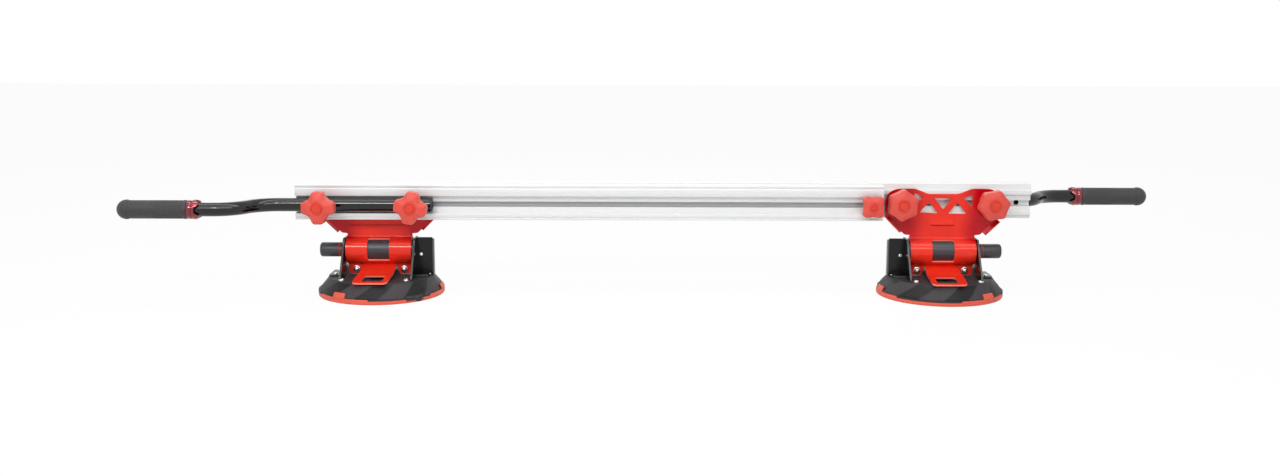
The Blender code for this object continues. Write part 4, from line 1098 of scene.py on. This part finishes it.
def flange(sign):
    """Edge strip bent back 45 degrees along the sloping lower edge of the truss plate."""
    start, stop = (np.array([x, z - sign * LEAN * x]) for x, z in (FLANGE_START, FLANGE_STOP))
    along = (stop - start) / np.linalg.norm(stop - start)
    out = np.array([along[1], -along[0]])
    t = np.linspace(0, radians(45), 6)
    turn = np.stack([FLANGE_R * np.sin(t), -0.0015 - FLANGE_R * (1 - np.cos(t))], 1)
    last = turn[-1] + FLANGE_REACH * np.array([np.cos(t[-1]), -np.sin(t[-1])])
    core = np.concatenate([[[-0.0020, -0.0015]], turn, [last]])
    way = np.gradient(core, axis=0)
    way /= np.linalg.norm(way, axis=1, keepdims=True)
    square = np.stack([-way[:, 1], way[:, 0]], 1) * FLANGE_THICK / 2
    loop = np.concatenate([core + square, (core - square)[::-1]])

    def at_end(end, flat):
        return np.stack([sign * (end[0] + flat[:, 0] * out[0]), flat[:, 1],
                         end[1] + flat[:, 0] * out[1]], 1)

    points, quads = grid(np.stack([at_end(end, loop) for end in (start, stop)]), loop_cols=True)
    cut = np.isin(quads % len(loop), (len(core) - 1, len(core))).all(axis=1)
    flat, tris = filled([loop])
    return ([(points, quads[~cut]), (points, quads[cut], 1)]
            + [(at_end(end, flat), tris, 1) for end in (start, stop)])


def boss(x):
    """Round pad pressed forward at a stud: top radius 19 mm, sloping flank, hole."""
    rows = [(STUD_R, 0.0), (STUD_R, 0.0026), (0.0190, 0.0026), (0.0198, 0.0023), (0.0210, 0.0008),
            (0.0216, 0.0), (0.0216, -0.0010)]
    rows = [(r, h + SHEET + 0.00015) for r, h in rows]
    return moved(lathe(rows, 64, "-Y"), [x, 0, SLOT_Z])


def louvre():
    """Strip cut along its lower edge and ends and pushed 2.4 mm out of the sheet there: the
    push falls to nothing at the upper edge, and over 3 mm at each end as half a cosine.
    A plate behind it closes the throat; only its front is marked, and it takes a near-black red, a
    painted shadow in the throat."""
    ends = np.linspace(LOUVRE_END, LANCE_HALF, 7)
    x = np.concatenate([-ends[::-1], ends])
    fall = (np.abs(x) - LOUVRE_END) / (LANCE_HALF - LOUVRE_END)
    push = LOUVRE_PUSH * np.clip(0.5 + 0.5 * np.cos(pi * fall), 0, 1)
    back_y, front_y = FLAT_Y - SHEET / 2, FLAT_Y + SHEET / 2
    corners = [(back_y, LOUVRE_LOW, 1), (front_y, LOUVRE_LOW, 1), (front_y, LANCE_TOP, 0),
               (back_y, LANCE_TOP, 0)]
    points = np.stack([np.stack([x, -(y + far * push), 0 * x + z], 1) for y, z, far in corners], 1)
    out = [grid(points, loop_cols=True)] + [(points[k], [[0, 1, 2, 3]]) for k in (0, -1)]
    throat = box_loop(0.0, THROAT_THICK, LOUVRE_LOW - THROAT_DROP, LANCE_TOP, 0)
    rows = [np.array([(x, deep - back_y, z) for deep, z, _ in throat])
            for x in (-THROAT_HALF, THROAT_HALF)]
    points, quads = grid(np.stack(rows), loop_cols=True)
    # The throat plate's front takes the painted shadow colour.
    front = np.isin(quads % 4, (0, 3)).all(axis=1)
    out += [(points, quads[~front]), (points, quads[front], 1)]
    return out + [(row, [[0, 1, 2, 3]]) for row in rows]


sheet_pieces = [("truss_sheet", plate_sheet, ["bracket_plate"], 0.0004),
                ("clamp_sheet", clamp_sheet, ["bracket_clamp"], 0.0004),
                ("plate_tongue", tongue(-1) + tongue_lip(-1), [], 0.0004),
                ("clamp_tongue", tongue(1) + tongue_lip(1), [], 0.0004),
                ("flange_outer", flange(1), [], 0.0003), ("flange_inner", flange(-1), [], 0.0003)]
for side in HALVES:
    shift = (cup_x[side] + SHIFT, 0, 0)
    for name, patches, nodes, bevel in sheet_pieces:
        make_piece(side, name, patches, shift, RED_COAT, "cup", nodes, bevel,
                   28, EDGE_HIGHLIGHT_COAT)
    for x, word in zip(STUDS, ("outer", "inner")):
        make_piece(side, "stud_boss_" + word, boss(x), shift, RED_COAT, "cup",
                   sharp=50)
    make_piece(side, "pressed_bridge", louvre(), shift, RED_COAT, "cup",
               bevel=0.0003, sharp=28, edge_finish=THROAT_SHADOW_COAT)
print("bracket pieces", len(made))

# %% [markdown]
# ## Pump
# A plain plastic cylinder with the plunger standing out of its open end. Two thin red
# rings show on the plunger when the vacuum is low; they lie in shallow grooves.

# %% Pump barrel and plunger
BARREL_R, HALF_LEN, BORE_R, PLUNGER_R = 0.0189, 0.0567, 0.0126, 0.0121
BORE_END, EDGE_R = -0.0420, 0.0012
RINGS, RING_R, GROOVE_R = (0.0668, 0.0692), 0.0005, PLUNGER_R - 0.0004
edge = [(BARREL_R - EDGE_R * (1 - np.cos(v)), HALF_LEN - EDGE_R * (1 - np.sin(v)))
        for v in np.linspace(0, pi / 2, 5)]
barrel_rows = ([(0, BORE_END), (BORE_R, BORE_END), (BORE_R, HALF_LEN - 0.0006),
                (BORE_R + 0.0006, HALF_LEN)] + edge[::-1]
               + [(BARREL_R, z) for z in np.linspace(0.054, -0.054, 10)]
               + [(r, -h) for r, h in edge] + [(0, -HALF_LEN)])
plunger_rows = [(0, 0.1003), (0.0066, 0.1003), (0.0071, 0.1001), (0.0074, 0.0996), (0.0082, 0.0996),
                (0.0085, 0.1002), (0.0092, 0.1004), (0.0101, 0.1001), (0.0112, 0.0993),
                (0.0118, 0.0983), (PLUNGER_R, 0.0970), (PLUNGER_R, 0.0712)]
for place in RINGS[::-1]:
    plunger_rows += [(PLUNGER_R, place + 0.0007), (GROOVE_R, place + 0.00055),
                     (GROOVE_R, place - 0.00055), (PLUNGER_R, place - 0.0007)]
plunger_rows += [(PLUNGER_R, 0.0110), (PLUNGER_R - 0.0010, 0.0100), (0, 0.0100)]
barrel, plunger = lathe(barrel_rows, 64, "+X"), lathe(plunger_rows, 56, "+X")
vacuum_marks = [lathe([(GROOVE_R + RING_R * np.cos(v), RING_R * np.sin(v) + place)
                       for v in np.linspace(-pi, pi, 9)[:-1]], 56, "+X", ring=True)
                for place in RINGS]
for side in HALVES:
    place = (cup_x[side], 0, PUMP_Z)
    make_piece(side, "pump_cylinder", barrel, place, PUMP_BLACK, "cup",
               ["pump_barrel"])
    make_piece(side, "pump_plunger", plunger, place, PUMP_BLACK, "plunger",
               ["plunger"])
    for number, mark in enumerate(vacuum_marks, 1):
        make_piece(side, f"vacuum_mark_{number}", mark, place, CAP_RED, "plunger")
print("pump faces", made["left_pump_cylinder"])

# %% [markdown]
# ## Uprights
# The pump hangs between two folded steel plates, black and glossy. Their outlines taper
# from a wide foot to a rounded top; the inner one has a fin with a stiff rim. Their cut
# edges are coloured grey, a painted highlight along the edges.

# %% Uprights
DECK_Z, UPRIGHT_X, UPRIGHT_T, UPRIGHT_TOP = 0.0310, 0.0570, 0.0030, 0.0945
FOOT = DECK_Z + 0.0003
FOOT_TOP, OUT_X = FOOT + UPRIGHT_T, UPRIGHT_X + UPRIGHT_T
JOIN_X = OUT_X - 0.001                           # feet and fin start inside the plate


def flat_plate(loops, axis, low, high):
    """Plate cut by its loops, between two places on the axis that it stands or lies
    across: 0 for X, 1 for Y, 2 for Z. The loops hold the other two coordinates."""
    def fold(a, b):
        cols = [a, b]
        cols.insert(axis, 0 * a + (low + high) / 2)
        way = np.zeros((len(a), 3))
        way[:, axis] = 1.0
        return np.stack(cols, 1), way
    return folded(loops, [], fold, high - low)


side_edge = rounded_edge([(0.0560, FOOT), (0.0560, FOOT + 0.0040), (0.0205, 0.0845),
                          (0.0160, UPRIGHT_TOP)], [0.0008, 0.002, 0.006, 0.005])
hole = ring_of(0, PUMP_Z, PLUNGER_R + 0.0008, 40)
outer_foot = soft(box_loop(JOIN_X, 0.0835, -0.0220, 0.0220, 0.0005, 0.004, 0.004, 0.0005), 6)
inner_foot = soft([(-JOIN_X, -0.0220, 0.0005), (-0.0800, -0.0200, 0.003), (-0.0800, 0.0200, 0.003),
                   (-JOIN_X, 0.0220, 0.0005)], 6)
fin_top = UPRIGHT_TOP - 0.0004
fin = soft([(-0.0880, FOOT, 0.0005), (-JOIN_X, FOOT, 0.0005), (-JOIN_X, fin_top, 0.0005),
            (-0.0870, fin_top, 0.0028)], 6)
rim_low, rim_top = FOOT + 0.0002, UPRIGHT_TOP - 0.0030
rim = soft(box_loop(-0.0055, 0.0055, rim_low, rim_top, 0.0015, 0.0015, 0.0025, 0.0025), 6)
outer_upright = (flat_plate([side_edge, hole], 0, UPRIGHT_X, OUT_X)
                 + flat_plate([outer_foot], 2, FOOT, FOOT_TOP))
inner_upright = (flat_plate([side_edge], 0, -OUT_X, -UPRIGHT_X)
                 + flat_plate([inner_foot], 2, FOOT + 0.0001, FOOT_TOP)
                 + flat_plate([fin, ring_of(-0.0670, 0.0655, 0.0026)], 1, -0.0013, 0.0013)
                 + flat_plate([rim], 0, -0.0890, -0.0866))
for side in HALVES:
    for name, patches, node in (("pump_side_plate", outer_upright, "upright_outer"),
                                ("finned_side_plate", inner_upright, "upright_inner")):
        make_piece(side, name, patches, (cup_x[side], 0, 0), ENAMEL, "cup", [node],
                   bevel=0.0005, sharp=28, edge_finish=EDGE_HIGHLIGHT_ENAMEL)
print("upright faces", made["left_finned_side_plate"])

# %% [markdown]
# ## Cup
# The grey moulded plate and the orange rubber pad are turned shapes with details that
# repeat round them: a swirl of shallow blades on the plate, three pull tabs and a thin lip
# on the pad. Again the height and the tone are functions of angle and radius.

# %% Cup plate
DECK_R, FLANK_R, RIM_R, RIM_Z = 0.0870, 0.0963, 0.1004, 0.0112
BLADES = 8                                       # matt and polished pairs round the flank
BLADE_TURN = {"left": 5.5, "right": 13.5}        # degrees
TAB_TURN = {"left": 58.5, "right": 68.0}         # degrees to the pad's first pull tab
plate_rows = ([(0, DECK_Z)] + [(r, DECK_Z) for r in np.linspace(0.010, DECK_R - 0.0012, 12)]
              + [(DECK_R - 0.0003, DECK_Z - 0.0002), (DECK_R + 0.0004, DECK_Z - 0.0008)]
              + [(DECK_R + 0.0004 + (FLANK_R - DECK_R) * k, DECK_Z - 0.0008 - 0.0116 * k ** 0.86)
                 for k in np.linspace(0.08, 1, 16)]
              + [(0.0967 + (PLATE_R - 0.0970) * k, 0.0186 - 0.0072 * k) for k in np.linspace(0.1, 1, 6)]
              + [(PLATE_R, 0.0108), (PLATE_R, 0.0098), (PLATE_R, 0.0091), (PLATE_R - 0.0004, 0.0088),
                 (PLATE_R - 0.0016, 0.0088), (0, 0.0088)])


def blade_share(a, z, side):
    """Polished share: a square wave of angle plus a turn that grows up the flank by 0.28
    radian in 20 mm, with softened steps. Matt blades are a little narrower."""
    turn = (z - 0.0220) / 0.020 * 0.28 + radians(BLADE_TURN[side])
    wave = 0.02 - np.cos(BLADES * (a - turn))
    return 0.5 + 0.5 * np.tanh(9.0 * wave)


def skirt_share(a, side):
    """1 where the rim reaches down over the pad, half way between two pull tabs, 62 degrees
    wide: a soft step in the distance from the nearest middle."""
    off = (a - radians(TAB_TURN[side] + 60.0) + pi / 3) % (2 * pi / 3) - pi / 3
    return np.clip((radians(31.0) - np.abs(off)) / radians(1.0) + 0.5, 0, 1)


def plate_patches(side):
    """The flank's matt blades lie 0.6 mm deeper; the rim's skirt is 2 mm wider, 2.6 mm lower."""
    def radius_of(a, rows):
        r, z = rows[:, 0:1], rows[:, 1:2]
        zone = np.clip((r - DECK_R) / 0.0016, 0, 1) * np.clip((0.1012 - r) / 0.002, 0, 1)
        rim = (r > RIM_R) * (z < RIM_Z)
        return -0.0006 * zone * (1 - blade_share(a, z, side)) + 0.0020 * rim * skirt_share(a, side)

    def height_of(a, rows):
        r, z = rows[:, 0:1], rows[:, 1:2]
        drop = (r > RIM_R) * np.clip((RIM_Z - z) / 0.0020, 0, 1)
        return -0.0026 * drop * skirt_share(a, side)

    return lathe(plate_rows, 528, "+Z", radius_of, height_of)


def paint_swirl(obj, side):
    """Stores the blades' share at each corner point as the attribute named swirl; the deck
    and the underside get a share of 0.62."""
    mesh = obj.data
    co = np.empty(len(mesh.vertices) * 3)
    mesh.vertices.foreach_get("co", co)
    co = co.reshape(-1, 3)
    x = HALVES[side] * (co[:, 0] - RAIL_MID) - cup_x[side]
    y = HALVES[side] * co[:, 1]
    share = blade_share(np.arctan2(y, x), co[:, 2], side)
    flank = (np.hypot(x, y) > DECK_R) & (co[:, 2] > 0.0092)
    layer = mesh.attributes.new("swirl", "FLOAT", "POINT")
    layer.data.foreach_set("value", np.where(flank, share, 0.62).astype(np.float32))


for side in HALVES:
    obj = make_piece(side, "swirled_cup_plate", plate_patches(side), (cup_x[side], 0, 0), PLATE_GREY,
                     "cup", ["cup_plate"], sharp=30)
    paint_swirl(obj, side)
print("cup plate faces", made["left_swirled_cup_plate"])

# %% Pad and release tab
PAD_R, PAD_TOP, PAD_EDGE = 0.1040, 0.0085, 0.0022
pad_rows = ([(0, PAD_TOP), (0.0600, PAD_TOP), (0.0995, PAD_TOP)]
            + [(PAD_R - PAD_EDGE * (1 - np.sin(v)), PAD_TOP - PAD_EDGE * (1 - np.cos(v)))
               for v in np.linspace(0, pi / 2, 5)]
            + [(PAD_R + 0.0002, 0.0040), (PAD_R + 0.0002, 0.0022), (PAD_R - 0.0002, 0.0010),
               (PAD_R - 0.0009, 0.0003), (PAD_R - 0.0018, 0.0), (0.0990, 0.0), (0.0980, 0.0006),
               (0.0970, 0.0030), (0.0962, 0.0048), (0.0600, 0.0052), (0, 0.0052)])
TAB_HALF, VALVE_HALF, VALVE_TURN = 0.0118, 0.0155, radians(130.5)
tab_section = [(0.1006, 0.0060, 0.0004), (0.1030, 0.0060, 0.0004), (0.1043, 0.0086, 0.0012),
               (0.1043, 0.0116, 0.0012), (0.1008, 0.0174, 0.0007), (0.0994, 0.0169, 0.0007),
               (0.1026, 0.0113, 0.0008), (0.1026, 0.0082, 0.0005), (0.1006, 0.0080, 0.0004)]
valve_section = [(0.1030, 0.0092, 0.0003), (0.1049, 0.0088, 0.0004), (0.1049, 0.0046, 0.0005),
                 (0.1058, 0.0042, 0.0004), (0.1066, 0.0052, 0.0006), (0.1066, 0.0092, 0.0010),
                 (0.1048, 0.0118, 0.0008), (0.1030, 0.0118, 0.0004)]
BOSS_AT, BOSS_HALF, BOSS_PROUD = np.array([0.1050, 0.0075, 0.0063]), (0.0070, 0.0056), 0.0030


def arc_strip(section, half_width, turn):
    """Section of (radius, z) turned through a short arc, with flat ends."""
    loop = soft(section)
    a = turn + np.linspace(-1, 1, 16) * half_width / loop[:, 0].mean()
    flat, tris = filled([loop])
    caps = [(polar(flat[:, 0], v, flat[:, 1]), tris) for v in (a[0], a[-1])]
    return [grid(polar(loop[None, :, 0], a[:, None], loop[None, :, 1]), loop_cols=True)] + caps


def thumb_boss():
    """Rounded end of the tab: half an ellipsoid that bulges 3 mm out of the rim, 14 mm
    long and 11 mm high, with a flat back."""
    u = np.linspace(0, pi / 2, 10)[::-1, None]
    v = np.linspace(0, 2 * pi, 40, endpoint=False)[None, :]
    proud = np.concatenate([np.zeros((2, 1)), BOSS_PROUD * np.cos(u)])
    wide = np.concatenate([np.zeros((1, 1)), np.ones((1, 1)), np.sin(u)])
    points, quads = grid(BOSS_AT + np.stack([proud + 0 * v, BOSS_HALF[0] * wide * np.cos(v),
                                             BOSS_HALF[1] * wide * np.sin(v)], -1), loop_cols=True)
    c, s = np.cos(VALVE_TURN), np.sin(VALVE_TURN)
    return [(points @ np.array([[c, s, 0], [-s, c, 0], [0, 0, 1]]), quads)]


for side in HALVES:
    place = (cup_x[side], 0, 0)
    tabs = [patch for k in range(3)
            for patch in arc_strip(tab_section, TAB_HALF, radians(TAB_TURN[side] + 120 * k))]
    make_piece(side, "rubber_pad", lathe(pad_rows, 160), place, PAD_RUBBER, "cup",
               ["pad"])
    make_piece(side, "pull_tabs", tabs, place, PAD_RUBBER, "cup", bevel=0.0003)
    make_piece(side, "air_release_tab", arc_strip(valve_section, VALVE_HALF, VALVE_TURN) + thumb_boss(),
               place, PLUG_BLACK, "release_tab", ["release_tab"], bevel=0.0004)
print("pad faces", made["left_rubber_pad"])

# %% [markdown]
# ## Fasteners
# Domed flange bolts through the ears, bright zinc, and pan-head screws that hold the
# uprights to the plate. A head is a turned dome whose lower rows take a hexagon's outline,
# the least of the distances to six flats; a cross recess is a dip along two lines.

# %% Bolts and screws
HEX_R, HEX_DOME, NEAR_HIGH, FAR_HIGH = 0.0047, 0.0016, 0.0034, 0.0040
EAR_FACE, SHAFT_R = SHEET + 0.00045, 0.0029


def hex_head(high, axis):
    """Flange, hexagon and dome: radius = across-flats over cos of the angle from the
    nearest flat's middle, limited by the washer's circle."""
    a = np.linspace(0, 2 * pi, 72, endpoint=False)
    off = (a + pi / 6) % (pi / 3) - pi / 6
    flat_r = np.minimum(HEX_R * 0.90 / np.cos(off), HEX_R)
    circle = HEX_R + 0 * a
    levels = [(circle * 0.0, 0), (circle * 1.25, 0), (circle * 1.25, 0.18), (circle * 1.15, 0.26),
              (flat_r, 0.28), (flat_r, 0.78), (flat_r * 0.94, 0.92)]
    rows = [polar(r, a, high * h) for r, h in levels]
    rows += [polar(HEX_R * 0.86 * np.cos(v), a, high * 0.92 + HEX_DOME * np.sin(v))
             for v in np.linspace(0.35, 1, 5) * pi / 2]
    points, quads = grid(np.stack(rows), loop_cols=True)
    return [(lay(points, axis), quads)]


def pan_head(x, y, z, size):
    """Low dome on a polar grid, at size 1 9.8 mm wide and 3 mm high, with a cross recess:
    two dips a fifth of the radius wide and 0.3 of the height deep."""
    r, high = 0.0049 * size, 0.0030 * size
    a = np.linspace(0, 2 * pi, 48, endpoint=False)[None, :]
    inner = np.linspace(0.90, 0.0, 12)
    q = np.concatenate([[1.0, 1.0, 0.97], inner])[:, None]
    rise = np.concatenate([[0.0, 0.35, 0.62], 0.70 + 0.30 * np.sqrt(1 - inner ** 2)])[:, None]
    px, py = r * q * np.cos(a), r * q * np.sin(a)
    arm = np.minimum(np.abs(px), np.abs(py))
    dip = (np.clip((0.112 - arm / r) / 0.041, 0, 1)
           * np.clip((0.62 - np.hypot(px, py) / r) / 0.061, 0, 1))
    points = np.stack([px + x, py + y, z + high * rise - 0.3 * high * dip], -1)
    base = np.array([x, y, z]) + np.zeros((1, a.size, 3))
    return grid(np.concatenate([base, points]), loop_cols=True)


SCREWS = [(x, y * way, z, size) for x, y, z, size in (
    (-0.0500, 0.0560, DECK_Z, 1.0), (0.0555, 0.0560, DECK_Z, 1.0),
    (0.0740, 0.0150, FOOT_TOP, 0.66), (-0.0830, 0.0130, FOOT_TOP, 0.34)) for way in (-1, 1)]
shaft_rows = [(0, -EAR_FACE), (SHAFT_R, -EAR_FACE), (SHAFT_R, EAR_FACE), (0, EAR_FACE)]
ear_bolt = (moved(hex_head(NEAR_HIGH, "-Y"), [0, -EAR_FACE, 0])
            + moved(hex_head(FAR_HIGH, "+Y"), [0, EAR_FACE, 0]) + lathe(shaft_rows, 24, "+Y"))
for side in HALVES:
    for sign, word in ((1, "outer"), (-1, "inner")):
        make_piece(side, "ear_bolt_" + word, ear_bolt,
                   (cup_x[side] + SHIFT + sign * EAR_X, 0, EAR_Z), ZINC, "cup",
                   ["clamp_bolt_" + word], sharp=30)
for side in HALVES:
    make_piece(side, "foot_screws", [pan_head(*screw) for screw in SCREWS], (cup_x[side], 0, 0),
               ZINC, "cup", sharp=40)
print("pieces", len(made), "faces", sum(made.values()))

# %% [markdown]
# ## View
# The Standard view shows a colour as it was written.

# %% Colour view
scene.view_settings.view_transform = "Standard"
